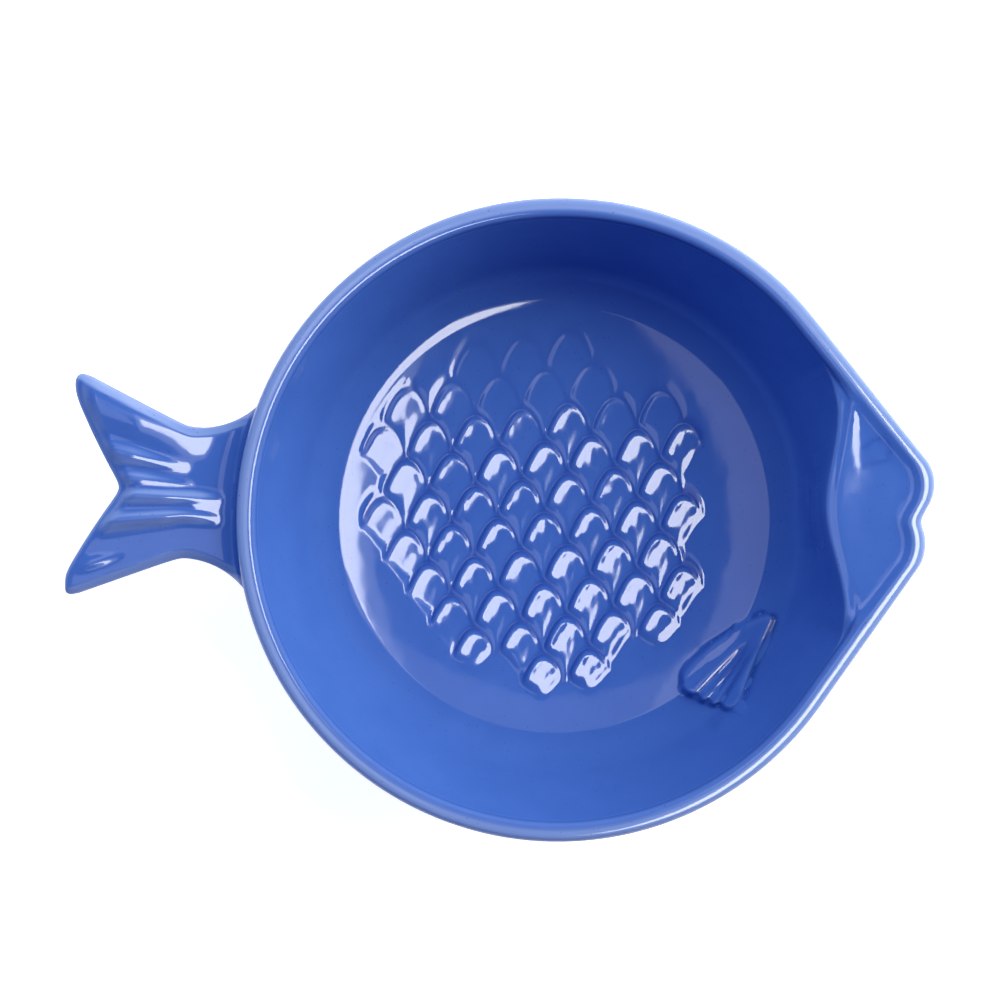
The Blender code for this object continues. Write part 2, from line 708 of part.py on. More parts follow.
def recess_glaze_mesh():
    """The disc of glaze in the recess inside the foot ring."""
    mesh = bmesh.new()
    radius = FOOT_RADIUS - SKIN_DEPTH - FOOT_WIDTH - GLAZE_GAP
    segments = round(360.0 / ROUND_STEP)
    bmesh.ops.create_cone(
        mesh,
        cap_ends=True,
        segments=segments,
        radius1=radius,
        radius2=radius,
        depth=GLAZE_THICKNESS,
    )
    middle = FOOT_HEIGHT - GLAZE_GAP - GLAZE_THICKNESS / 2
    bmesh.ops.translate(mesh, verts=mesh.verts, vec=(0.0, 0.0, middle))
    return mesh


def principled(name, colour, roughness):
    """A plain Principled material."""
    material = bpy.data.materials.new(name)
    material.use_nodes = True
    shader = material.node_tree.nodes["Principled BSDF"]
    shader.inputs["Base Color"].default_value = colour
    shader.inputs["Roughness"].default_value = roughness
    shader.inputs["Metallic"].default_value = 0.0
    return material


def add_piece(name, mesh, material, collection, parent):
    """Makes one named object from a bmesh, shaded smooth, on the parent empty."""
    data = bpy.data.meshes.new(name)
    mesh.to_mesh(data)
    mesh.free()
    data.materials.append(material)
    data.shade_smooth()
    data.set_sharp_from_angle(angle=math.radians(SHARP_ANGLE))
    piece = bpy.data.objects.new(name, data)
    collection.objects.link(piece)
    piece.parent = parent
    return piece


def main():
    for item in list(bpy.data.objects):
        bpy.data.objects.remove(item, do_unlink=True)
    collection = bpy.data.collections.new("fish_bowl")
    bpy.context.scene.collection.children.link(collection)
    bowl_axis = bpy.data.objects.new("bowl_axis", None)
    collection.objects.link(bowl_axis)

    blue = principled("blue_glaze", GLAZE_BLUE, GLAZE_ROUGHNESS)
    pool = principled("recess_blue_glaze", GLAZE_BLUE, GLAZE_ROUGHNESS)
    clay = principled("bare_clay", BARE_CLAY, CLAY_ROUGHNESS)

    surface, _ = skin()
    ends = [vertex.co.x for vertex in surface.verts]
    sides = [vertex.co.y for vertex in surface.verts]
    add_piece("clay_body", clay_mesh(), clay, collection, bowl_axis)
    coat = add_piece("glaze_coat", surface, blue, collection, bowl_axis)
    shell = coat.modifiers.new("glaze_thickness", "SOLIDIFY")
    shell.thickness = GLAZE_THICKNESS
    shell.offset = -1.0
    shell.use_even_offset = False
    add_piece("recess_glaze", recess_glaze_mesh(), pool, collection, bowl_axis)

    # The bowl's axis stands where the middle of the whole fish is over the origin.
    middle = ((min(ends) + max(ends)) / 2, (min(sides) + max(sides)) / 2)
    bowl_axis.location = (-middle[0], -middle[1], 0.0)


main()
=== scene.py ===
"""Looks of a fish-shaped serving bowl in blue glazed stoneware, seen from straight above.

The glaze coat is rebuilt as one fine closed skin over the packed clay body: the dished floor with
its bed of scales, the fin, the wall, the brow and eye of the head, the rounded rim, the fluted tail
and the outside down to the wiped foot. The clay body and the pool of glaze in its recess keep their
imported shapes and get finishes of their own.
"""

import logging
import math
from dataclasses import dataclass, field
from enum import Enum

import bmesh
import bpy
import numpy as np
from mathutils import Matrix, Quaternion, Vector

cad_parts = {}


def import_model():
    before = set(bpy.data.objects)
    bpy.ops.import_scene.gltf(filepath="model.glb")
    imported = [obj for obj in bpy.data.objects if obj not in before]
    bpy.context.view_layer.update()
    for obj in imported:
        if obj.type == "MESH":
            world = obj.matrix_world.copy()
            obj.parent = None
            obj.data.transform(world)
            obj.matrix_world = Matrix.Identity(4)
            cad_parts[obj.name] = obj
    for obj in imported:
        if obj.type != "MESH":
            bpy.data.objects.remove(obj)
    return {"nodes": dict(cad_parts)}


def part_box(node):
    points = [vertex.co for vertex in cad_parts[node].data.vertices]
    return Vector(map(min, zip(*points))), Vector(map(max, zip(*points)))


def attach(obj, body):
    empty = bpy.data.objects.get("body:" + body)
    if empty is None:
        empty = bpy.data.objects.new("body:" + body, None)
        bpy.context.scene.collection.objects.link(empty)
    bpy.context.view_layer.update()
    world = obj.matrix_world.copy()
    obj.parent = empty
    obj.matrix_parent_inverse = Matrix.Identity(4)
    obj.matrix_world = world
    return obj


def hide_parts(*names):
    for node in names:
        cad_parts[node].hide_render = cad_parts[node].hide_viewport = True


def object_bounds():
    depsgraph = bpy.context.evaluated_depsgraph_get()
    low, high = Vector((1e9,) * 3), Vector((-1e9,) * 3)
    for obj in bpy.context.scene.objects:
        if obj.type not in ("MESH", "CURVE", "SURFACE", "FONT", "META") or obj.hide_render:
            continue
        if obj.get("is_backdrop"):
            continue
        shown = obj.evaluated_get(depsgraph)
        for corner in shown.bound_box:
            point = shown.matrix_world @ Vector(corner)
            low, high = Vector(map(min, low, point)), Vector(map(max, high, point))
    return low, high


LOG = logging.getLogger("fish_bowl")
MM = 0.001

Pair = tuple[float, float]
Colour = tuple[float, float, float]
SectionPoint = tuple[np.ndarray, np.ndarray | float]
Vert = bmesh.types.BMVert
Edge = bmesh.types.BMEdge
Skin = bmesh.types.BMesh
Socket = bpy.types.NodeSocket


def wrap(degrees: np.ndarray) -> np.ndarray:
    """Angles brought into the range from -180 to 180 degrees."""
    return (degrees + 180.0) % 360.0 - 180.0


def smooth_step(value: np.ndarray) -> np.ndarray:
    """0 below 0, 1 above 1 and an even blend between them."""
    value = np.clip(value, 0.0, 1.0)
    return value * value * (3.0 - 2.0 * value)


def ease_above(values: np.ndarray, limit: float, run: float) -> np.ndarray:
    """Keeps values above a limit and presses the last run before it smoothly together."""
    past = values - limit
    return limit + np.where(past < run, run * np.exp(np.minimum(past / run - 1.0, 0.0)), past)


def corner(first: np.ndarray, second: np.ndarray, radius: float) -> np.ndarray:
    """Distance inside two borders at once, with their corner rounded.

    Args:
        first: Distance inside the first border, below 0 outside it.
        second: Distance inside the second border.
        radius: Radius of the rounded corner.

    Returns:
        Distance inside the rounded shape.
    """
    near = np.minimum(first, second)
    rounded = radius - np.hypot(np.maximum(radius - first, 0.0), np.maximum(radius - second, 0.0))
    return np.where(near < radius, rounded, near)


def polar(radius: np.ndarray, degrees: np.ndarray) -> np.ndarray:
    """Plan points at a radius and an angle about the bowl's axis."""
    turn = np.radians(degrees)
    return np.stack((radius * np.cos(turn), radius * np.sin(turn)), axis=-1)


def spline(control: np.ndarray, places: np.ndarray) -> np.ndarray:
    """Rounded curves that follow rows of control points.

    Args:
        control: Control points as columns by points by coordinates.
        places: Where along each row to look, counted in control points.

    Returns:
        Curve points as columns by places by coordinates.
    """
    last = control.shape[1] - 1
    middle = np.clip(np.rint(places).astype(int), 0, last)
    part = (places - middle)[None, :, None]
    before = control[:, np.maximum(middle - 1, 0)]
    after = control[:, np.minimum(middle + 1, last)]
    return (
        before * 0.5 * (0.5 - part) ** 2
        + control[:, middle] * (0.75 - part**2)
        + after * 0.5 * (0.5 + part) ** 2
    )


def coordinates(verts: list[Vert]) -> np.ndarray:
    """Places of some vertices as an array."""
    return np.array([vertex.co[:] for vertex in verts])


def move_to(verts: list[Vert], places: np.ndarray) -> None:
    """Moves vertices to new places, one row of the array for each."""
    for vertex, place in zip(verts, places.tolist()):
        vertex.co = place


def loop_edges(loop: list[Vert]) -> list[Edge]:
    """The edges between neighbouring vertices of a closed loop.

    Args:
        loop: Vertices of the loop in order.

    Returns:
        Edges in the same order.
    """
    edges = []
    for start, end in zip(loop, loop[1:] + loop[:1]):
        edges.append(next(edge for edge in start.link_edges if edge.other_vert(start) is end))
    return edges


def extrude_loop(
    mesh: Skin, loop: list[Vert], places: np.ndarray
) -> list[Vert]:
    """Extrudes a closed loop to new places.

    Args:
        mesh: Mesh that holds the loop.
        loop: Vertices of the loop in order.
        places: New places in the same order.

    Returns:
        The new loop in the same order.
    """
    made = bmesh.ops.extrude_edge_only(mesh, edges=loop_edges(loop))
    fresh = {item for item in made["geom"] if isinstance(item, Vert)}
    following = []
    for vertex in loop:
        ends = (edge.other_vert(vertex) for edge in vertex.link_edges)
        following.append(next(end for end in ends if end in fresh))
    move_to(following, places)
    return following


@dataclass(frozen=True)
class MeshDetail:
    """How finely one face of the glaze coat is divided.

    Args:
        cell_steps: Steps across one scale.
        row_step: Keeps every so many rows of the section.
        stations: Steps along the tail.
    """

    cell_steps: int
    row_step: int
    stations: int


class CoatFace(Enum):
    """The two faces of the glaze coat."""

    OUTER = MeshDetail(cell_steps=18, row_step=1, stations=34)
    INNER = MeshDetail(cell_steps=6, row_step=4, stations=10)


@dataclass(frozen=True)
class Lip:
    """One lip of the fish: a circle in plan that the head's sides run to.

    Args:
        reach: How far the lip stands out from the bowl's circle.
        radius: Radius of the lip.
        angle: Where the lip is, in degrees from the fish's long axis.
    """

    reach: float
    radius: float
    angle: float


@dataclass(frozen=True)
class FishOutline:
    """The rim in plan: the bowl's circle, the head with its two lips, and the brow inside it."""

    bowl_radius: float = 90.47 * MM
    rim_thickness: float = 5.6 * MM
    upper_lip: Lip = Lip(15.8 * MM, 11.3 * MM, 6.0)
    lower_lip: Lip = Lip(13.1 * MM, 12.4 * MM, -4.2)
    mouth_softness: float = 1.9 * MM
    mouth_spread: float = 11.0
    nape_bulge: float = 1.2 * MM
    nape_angle: float = 44.0
    nape_spread: float = 50.0
    brow_rise: float = 2.2 * MM
    brow_depth: float = 11.5 * MM
    brow_centre: float = 2.0
    brow_spread: float = 28.0
    brow_blend: float = 1.5 * MM

    def lip_hull(self, degrees: np.ndarray, lip: Lip) -> np.ndarray:
        """Radius of the hull round the bowl's circle and one lip.

        Args:
            degrees: Angles about the bowl's axis.
            lip: The lip.

        Returns:
            Radius at each angle.
        """
        centre = self.bowl_radius + lip.reach - lip.radius
        half_hull = math.acos((self.bowl_radius - lip.radius) / centre)
        touch = math.atan2(lip.radius * math.sin(half_hull), centre + lip.radius * math.cos(half_hull))
        off_axis = np.radians(np.abs(wrap(degrees - lip.angle)))
        across = centre * np.sin(off_axis)
        on_lip = centre * np.cos(off_axis) + np.sqrt(np.maximum(lip.radius**2 - across**2, 0.0))
        on_side = self.bowl_radius / np.cos(np.maximum(half_hull - off_axis, 0.0))
        return np.where(off_axis >= touch, on_side, on_lip)

    def smooth_max(self, first: np.ndarray, second: np.ndarray, softness: np.ndarray) -> np.ndarray:
        """The larger of two lengths, rounded where they cross."""
        gap = np.maximum(softness - np.abs(first - second), 0.0) / softness
        return np.maximum(first, second) + gap * gap * softness / 4.0

    def rim(self, degrees: np.ndarray) -> np.ndarray:
        """Radius of the rim's outer edge at some angles.

        Args:
            degrees: Angles about the bowl's axis.

        Returns:
            Radius at each angle.
        """
        near_mouth = smooth_step(1.0 - np.abs(wrap(degrees)) / self.mouth_spread)
        softness = np.maximum(self.mouth_softness * near_mouth, 1e-7)
        upper = self.lip_hull(degrees, self.upper_lip)
        lower = self.lip_hull(degrees, self.lower_lip)
        off_nape = np.minimum(np.abs(wrap(degrees - self.nape_angle)) / self.nape_spread, 1.0)
        nape = self.nape_bulge * np.cos(np.pi / 2.0 * off_nape) ** 2
        return self.smooth_max(upper, lower, softness) + nape

    def rim_inner(self, degrees: np.ndarray) -> np.ndarray:
        """Radius of the rim's inner edge at some angles."""
        return self.rim(degrees) - self.rim_thickness

    def hollow_edge(self, degrees: np.ndarray) -> np.ndarray:
        """Radius of the hollow's top edge, which the brow draws in at the head.

        Args:
            degrees: Angles about the bowl's axis.

        Returns:
            Radius at each angle.
        """
        inner = self.rim_inner(degrees)
        off_axis = np.minimum(np.abs(wrap(degrees - self.brow_centre)), self.brow_spread)
        wave = (1.0 + np.cos(np.pi * off_axis / self.brow_spread)) / 2.0
        brow = self.bowl_radius - self.rim_thickness + self.brow_rise - self.brow_depth * wave
        drawn_in = -self.smooth_max(-inner, -brow, np.full_like(inner, self.brow_blend))
        return np.where(off_axis >= self.brow_spread, inner, drawn_in)


@dataclass(frozen=True)
class BowlSection:
    """The bowl's section from the floor's edge up the wall, over the rim and down the outside."""

    outline: FishOutline = FishOutline()
    height: float = 49.98 * MM
    ledge_height: float = 47.2 * MM
    head_drop: float = 1.0 * MM
    wall: float = 5.5 * MM
    floor_height: float = 8.0 * MM
    floor_edge: float = 62.0 * MM
    floor_start: float = 60.6 * MM
    floor_dish: float = 2.2 * MM
    dish_power: float = 3.4
    flat_share: float = 0.20
    flat_angle: float = 118.0
    flat_spread: float = 75.0
    floor_fillet: float = 14.0 * MM
    fillet_limit: float = 0.95
    fillet_points: int = 9
    fillet_steps: int = 3
    arc_points: int = 7
    wall_shares: Pair = (0.33, 0.67)
    fine_controls: int = 10
    foot_radius: float = 56.0 * MM
    wide_ledge: float = 4.0 * MM
    wide_band: float = 7.0 * MM

    def dish(self, degrees: np.ndarray) -> np.ndarray:
        """Rise of the dished floor at its edge, which is less toward the fish's back."""
        off_back = np.minimum(np.abs(wrap(degrees - self.flat_angle)) / self.flat_spread, 1.0)
        return self.floor_dish * (1.0 - self.flat_share * np.cos(np.pi / 2.0 * off_back) ** 2)

    def floor_at(self, radius: np.ndarray, degrees: np.ndarray) -> np.ndarray:
        """Height of the dished floor at some radii and angles."""
        return self.floor_height + self.dish(degrees) * (radius / self.floor_edge) ** self.dish_power

    def arc(
        self, centre: SectionPoint, radius: np.ndarray, top: SectionPoint, start: np.ndarray | float
    ) -> list[SectionPoint]:
        """Points round a fillet, from the floor to where a straight wall leaves it.

        Args:
            centre: Radius and height of the fillet's centre.
            radius: Radius of the fillet.
            top: Radius and height that the straight wall runs to.
            start: Angle at the floor, in radians.

        Returns:
            Radius and height of each point.
        """
        across = top[0] - centre[0]
        up = top[1] - centre[1]
        leaving = np.arctan2(up, across) - np.arccos(radius / np.hypot(across, up))
        points = []
        for share in np.linspace(0.0, 1.0, self.arc_points):
            turn = start + (leaving - start) * share
            points.append((centre[0] + radius * np.cos(turn), centre[1] + radius * np.sin(turn)))
        return points

    def inner_controls(self, degrees: np.ndarray) -> list[SectionPoint]:
        """Control points from the floor's edge to the rim's crest, at some angles.

        Args:
            degrees: Angles about the bowl's axis.

        Returns:
            Radius and height of each control point.
        """
        inner = self.outline.rim_inner(degrees)
        hollow = self.outline.hollow_edge(degrees)
        gap = (inner - hollow) / MM
        level = smooth_step(gap * MM / self.wide_ledge)
        wide = smooth_step(gap * MM / self.wide_band)
        ledge = self.ledge_height + (self.height - self.head_drop - self.ledge_height) * level
        rise = self.height - ledge

        def at_edge(narrow: Pair, broad: Pair) -> SectionPoint:
            """A point beside the hollow's edge: its offset and height, plain and at the head."""
            across, up = (narrow[side] * (1.0 - wide) + broad[side] * wide for side in (0, 1))
            return hollow + across * MM, ledge + up * MM

        def at_rim(narrow: Pair, broad: Pair) -> SectionPoint:
            """A point inside the rim: its offset and share of the rise, plain and at the head."""
            across, share = (narrow[side] * (1.0 - wide) + broad[side] * wide for side in (0, 1))
            return inner + across * MM, ledge + rise * share

        top = at_edge((-1.5, -3.2), (-1.2, -3.3))
        fillet = np.minimum(self.floor_fillet, self.fillet_limit * (top[0] - self.floor_edge))
        slope = np.arctan(self.dish(degrees) * self.dish_power / self.floor_edge)
        centre_height = self.floor_at(self.floor_edge, degrees) + fillet * np.cos(slope)
        centre = (self.floor_edge - fillet * np.sin(slope), centre_height)
        rounding = self.arc(centre, fillet, top, slope - math.pi / 2.0)
        starts = [(np.full_like(inner, radius), self.floor_at(radius, degrees))
                  for radius in (self.floor_start, (self.floor_start + self.floor_edge) / 2.0)]
        end = rounding[-1]
        straight = [(end[0] + (top[0] - end[0]) * share, end[1] + (top[1] - end[1]) * share)
                    for share in self.wall_shares]
        return [
            *starts,
            *rounding,
            *straight,
            top,
            at_edge((-0.9, -1.5), (-0.55, -1.55)),
            at_edge((-0.6, -0.75), (-0.1, -0.68)),
            at_edge((-0.45, -0.35), (0.3, -0.47)),
            at_edge((-0.38, -0.15), (1.4, -0.36)),
            at_edge((-0.3, 0.0), (2.5, -0.26)),
            at_edge((-0.22, 0.1), (3.1, -0.21)),
            at_rim((-0.15, 0.14), (-0.4 * gap, 0.03)),
            at_rim((0.0, 0.32), (-1.6, 0.13)),
            at_rim((0.25, 0.68), (0.1, 0.52)),
            at_rim((0.9, 0.946), (1.5, 0.93)),
        ]

    def rim_controls(self, degrees: np.ndarray) -> list[SectionPoint]:
        """Control points over the rounded rim, from its crest to its outer side.

        Args:
            degrees: Angles about the bowl's axis.

        Returns:
            Radius and height of each control point.
        """
        edge = self.outline.rim(degrees)
        crest = edge - self.outline.rim_thickness / 2.0
        level = np.full_like(edge, self.height)
        below = [(crest + out * MM, level) for out in (-0.7, 0.0, 0.7)]
        below += [(edge - inset * MM, level - drop * MM) for inset, drop in ((0.95, 0.15), (0.2, 0.95))]
        below += [(edge, level - drop * MM) for drop in (2.1, 2.8, 3.5)]
        return below

    def outer_controls(self, degrees: np.ndarray) -> list[SectionPoint]:
        """Control points down the outside to the glaze line.

        Args:
            degrees: Angles about the bowl's axis.

        Returns:
            Radius and height of each control point.
        """
        edge = self.outline.rim(degrees)
        fillet = np.full_like(edge, self.floor_fillet + self.wall)
        centre = (np.full_like(edge, self.floor_edge), self.floor_height + self.floor_fillet)
        rounding = self.arc(centre, fillet, (edge, self.ledge_height), -math.pi / 2.0)[::-1]
        start = rounding[0]
        straight = []
        for share in (0.12, 0.25, 0.4, 0.6, 0.8):
            across = edge + (start[0] - edge) * share
            straight.append((across, self.ledge_height + (start[1] - self.ledge_height) * share))
        steps = ((3.2, 2.5), (1.4, 2.5), (0.75, 2.4), (0.2, 2.05), (0.0, 1.5), (0.0, 1.1))
        foot = [(self.foot_radius + out * MM, height * MM) for out, height in steps]
        level = np.ones_like(edge)
        return [*straight, *rounding, *[(level * across, level * height) for across, height in foot]]

    def rows(self, degrees: np.ndarray, detail: MeshDetail) -> np.ndarray:
        """The whole section at some angles.

        Args:
            degrees: Angles of the columns.
            detail: How many of the rows to keep.

        Returns:
            Radius and height as columns by rows by two.
        """
        inner = self.inner_controls(degrees)
        rim = self.rim_controls(degrees)
        outer = self.outer_controls(degrees)
        points = [np.stack(np.broadcast_arrays(*point), axis=-1) for point in (*inner, *rim, *outer)]
        control = np.stack(points, axis=1)
        dense = len(inner) - self.fine_controls
        outside = len(inner) + len(rim) - 1
        kept = np.concatenate((
            np.arange(0, self.fillet_points * self.fillet_steps) / float(self.fillet_steps),
            np.arange(self.fillet_points, dense, 1.0),
            np.arange(dense, outside, 0.5),
            np.arange(outside, control.shape[1], 1.0),
        ))
        chosen = np.unique(np.append(np.arange(0, len(kept), detail.row_step), len(kept) - 1))
        return spline(control, kept[chosen])


@dataclass(frozen=True)
class ScaleBed:
    """The slanting lattice of scales on the floor, each a plate with a rounded raised top edge."""

    step_right: Pair = (6.62 * MM, -9.42 * MM)
    step_left: Pair = (-6.82 * MM, -11.16 * MM)
    origin: Pair = (-10.45 * MM, -7.69 * MM)
    field_centre: Pair = (-8.5 * MM, -0.8 * MM)
    field_radius: float = 50.5 * MM
    field_limit: float = 60.5 * MM
    reach: int = 8
    bow: float = 0.10
    bunching: float = 0.5
    front_start: float = 0.1 * MM
    front: float = 1.6 * MM
    foot_edge: float = 4.0 * MM
    top_round: float = 4.5 * MM
    foot_round: float = 0.8 * MM
    top_lift: float = 0.20 * MM
    foot_lift: float = 0.08 * MM
    lip_lift: float = 0.60 * MM
    lip_run: float = 2.6 * MM
    lip_foot: float = 2.0 * MM
    lip_turn: float = 7.0 * MM
    lip_share: float = 0.62
    pool_run: float = 1.9 * MM
    bed_round: float = 3.0 * MM
    bed_foot: float = 5.0 * MM
    bed_side: float = 1.0 * MM
    bed_inset: float = 3.3 * MM
    bed_reach: float = 2.8 * MM
    bed_edge: float = 2.8 * MM
    bed_depth: float = 0.26 * MM
    bed_rise: float = 0.58 * MM
    bed_bearing: float = -48.0
    bed_start: float = -20.0 * MM
    bed_run: float = 55.0 * MM
    fade_start: float = 16.0 * MM
    fade_length: float = 30.0 * MM
    least_share: float = 0.16
    side_start: float = 36.0 * MM
    side_length: float = 18.0 * MM
    side_share: float = 0.5
    lip_least: float = 0.65
    side_tilt_start: float = 20.0 * MM
    side_tilt: float = 0.014
    unevenness: float = 0.16
    ripple: float = 0.014 * MM
    ripple_waves: int = 9
    ripple_lengths: Pair = (2.5 * MM, 6.0 * MM)
    border_gap: float = 0.7 * MM
    seed: int = 11
    pool_layer: str = "glaze_pool"

    def plan(self, right: np.ndarray, left: np.ndarray) -> np.ndarray:
        """Plan points of lattice places, with the lattice's lines bowed between their crossings.

        Args:
            right: Lattice places counted down to the right.
            left: Lattice places counted down to the left.

        Returns:
            Plan points.
        """
        part_right = right - np.floor(right)
        part_left = left - np.floor(left)
        bowed_right = right - self.bow * 4.0 * part_left * (1.0 - part_left)
        bowed_left = left - self.bow * 4.0 * part_right * (1.0 - part_right)
        steps = np.array((self.step_right, self.step_left))
        return np.array(self.origin) + np.stack((bowed_right, bowed_left), axis=-1) @ steps

    def spacing(self) -> Pair:
        """Distance between neighbouring lines of each direction of the lattice.

        Returns:
            Distance for the count to the right, and for the count to the left.
        """
        (right_x, right_y), (left_x, left_y) = self.step_right, self.step_left
        area = abs(right_x * left_y - right_y * left_x)
        return area / math.hypot(left_x, left_y), area / math.hypot(right_x, right_y)

    def cells(self, covered: "Fin") -> list[tuple[int, int]]:
        """Lattice cells that carry a scale: on the floor, in the field and clear of the fin.

        Args:
            covered: The fin, which scales keep clear of.

        Returns:
            Each cell's counts to the right and to the left.
        """
        found = []
        span = np.linspace(0.0, 1.0, 5)
        for right in range(-self.reach, self.reach):
            for left in range(-self.reach, self.reach):
                middle = self.plan(np.array(right + 0.5), np.array(left + 0.5))
                if np.hypot(*(middle - np.array(self.field_centre))) > self.field_radius:
                    continue
                grid_right, grid_left = np.meshgrid(right + span, left + span)
                spots = self.plan(grid_right.ravel(), grid_left.ravel())
                if np.hypot(spots[:, 0], spots[:, 1]).max() > self.field_limit:
                    continue
                if covered.inside(spots).max() > 0.0:
                    continue
                found.append((right, left))
        return found

    def relief(
        self, right: np.ndarray, left: np.ndarray, covered: "Fin"
    ) -> tuple[np.ndarray, np.ndarray]:
        """Height of the scales over the plain floor, and how far glaze pools there.

        Args:
            right: Lattice places counted down to the right.
            left: Lattice places counted down to the left.
            covered: The fin, which scales keep clear of.

        Returns:
            Height at each place, and the share of a full pool from 0 to 1.
        """
        chance = np.random.default_rng(self.seed)
        across_right, across_left = self.spacing()
        spots = self.plan(right, left)
        plates = np.zeros_like(right)
        bed = np.zeros_like(right)
        clear = np.zeros_like(right)
        uneven = np.zeros_like(right)
        way = math.radians(self.bed_bearing)
        toward = spots @ (math.cos(way), math.sin(way))
        crisp = smooth_step((toward - self.bed_start) / self.bed_run)
        shortest, longest = self.ripple_lengths
        for _ in range(self.ripple_waves):
            way, length, phase = chance.uniform((0.0, shortest, 0.0), (np.pi, longest, 2.0 * np.pi))
            uneven += np.sin((spots @ (math.cos(way), math.sin(way))) * 2.0 * np.pi / length + phase)
        found = self.cells(covered)
        for cell_right, cell_left in found:
            lean, size, lip_size = chance.uniform(-1.0, 1.0, 3) * self.unevenness
            near = (np.abs(right - cell_right - 0.5) < 1.0) & (np.abs(left - cell_left - 0.5) < 1.0)
            part_right = right[near] - cell_right
            part_left = left[near] - cell_left
            from_left = part_right * across_right
            from_right = part_left * across_left
            to_right = (1.0 - part_right) * across_right
            to_left = (1.0 - part_left) * across_left
            upper = corner(from_left, from_right, self.top_round)
            lower = corner(to_right, to_left, self.foot_round)
            cut_right = 0.0 if (cell_right + 1, cell_left) in found else self.bed_inset
            cut_left = 0.0 if (cell_right, cell_left + 1) in found else self.bed_inset
            inside = corner(
                corner(from_left, from_right, self.bed_round),
                corner(to_right - cut_right, to_left - cut_left, self.bed_foot),
                self.bed_side,
            )
            laid = smooth_step((inside + self.bed_reach) / self.bed_edge)
            past = upper - self.front_start
            front = smooth_step(past / self.front)
            behind = np.exp(-np.maximum(past - self.front, 0.0) / self.lip_run)
            down = np.clip((part_right + part_left) / 2.0, 0.0, 1.0)
            lift = self.top_lift * (1.0 + size) + (self.foot_lift - self.top_lift) * down
            lift = lift + self.top_lift * lean * (part_right - part_left)
            lip = (self.lip_lift * (1.0 + 2.0 * lip_size) + self.ripple * uneven[near]) * behind
            lip = lip * smooth_step((from_right - from_left) / self.lip_turn + self.lip_share)
            lift = lift * smooth_step(lower / self.foot_edge)
            lip = lip * smooth_step(lower / self.lip_foot)
            lip = lip * (self.lip_least + (1.0 - self.lip_least) * crisp[near])
            plates[near] = np.maximum(plates[near], front * (lift + lip) * laid)
            edge = smooth_step(np.minimum(upper, lower + 0.5 * self.pool_run) / self.pool_run)
            clear[near] = np.maximum(clear[near], edge)
            bed[near] = np.maximum(bed[near], laid)
        worn = smooth_step((spots[..., 1] - self.fade_start) / self.fade_length)
        aside = smooth_step((-spots[..., 0] - self.side_start) / self.side_length)
        share = (1.0 - (1.0 - self.least_share) * worn) * (1.0 - self.side_share * aside)
        tilt = self.side_tilt * np.maximum(-spots[..., 0] - self.side_tilt_start, 0.0)
        level = self.bed_rise * crisp - self.bed_depth - tilt
        return (plates + level * bed) * share, bed * (1.0 - clear) * share

    def add_to(
        self, mesh: Skin, section: BowlSection, covered: "Fin", detail: MeshDetail
    ) -> list[Edge]:
        """Adds the floor as a grid whose lines follow the scales.

        Args:
            mesh: Mesh to add to.
            section: The bowl's section, which gives the plain floor.
            covered: The fin.
            detail: How finely to divide a scale.

        Returns:
            Edges of the floor's ragged border.
        """
        layer = mesh.verts.layers.float.new(self.pool_layer)
        count = 2 * self.reach * detail.cell_steps
        made = bmesh.ops.create_grid(mesh, x_segments=count, y_segments=count, size=1.0)
        verts = made["verts"]
        flat = coordinates(verts)[:, :2] * self.reach
        whole = np.floor(flat + 1e-9)
        part = flat - whole
        part = part - self.bunching / (2.0 * np.pi) * np.sin(2.0 * np.pi * part)
        right, left = (whole + part).T
        spots = self.plan(right, left)
        radius = np.hypot(spots[:, 0], spots[:, 1])
        degrees = np.degrees(np.arctan2(spots[:, 1], spots[:, 0]))
        places = np.column_stack((spots, section.floor_at(radius, degrees)))
        kept = radius < section.floor_start - self.border_gap
        height, pooled = self.relief(right[kept], left[kept], covered)
        places[kept, 2] += height
        move_to(verts, places)
        inside = [vertex for vertex, stays in zip(verts, kept) if stays]
        for vertex, share in zip(inside, pooled.tolist()):
            vertex[layer] = share
        outside = set(verts).difference(inside)
        faces = [face for face in mesh.faces if any(vertex in outside for vertex in face.verts)]
        bmesh.ops.delete(mesh, geom=faces, context="FACES")
        return [edge for edge in mesh.edges if edge.is_boundary]


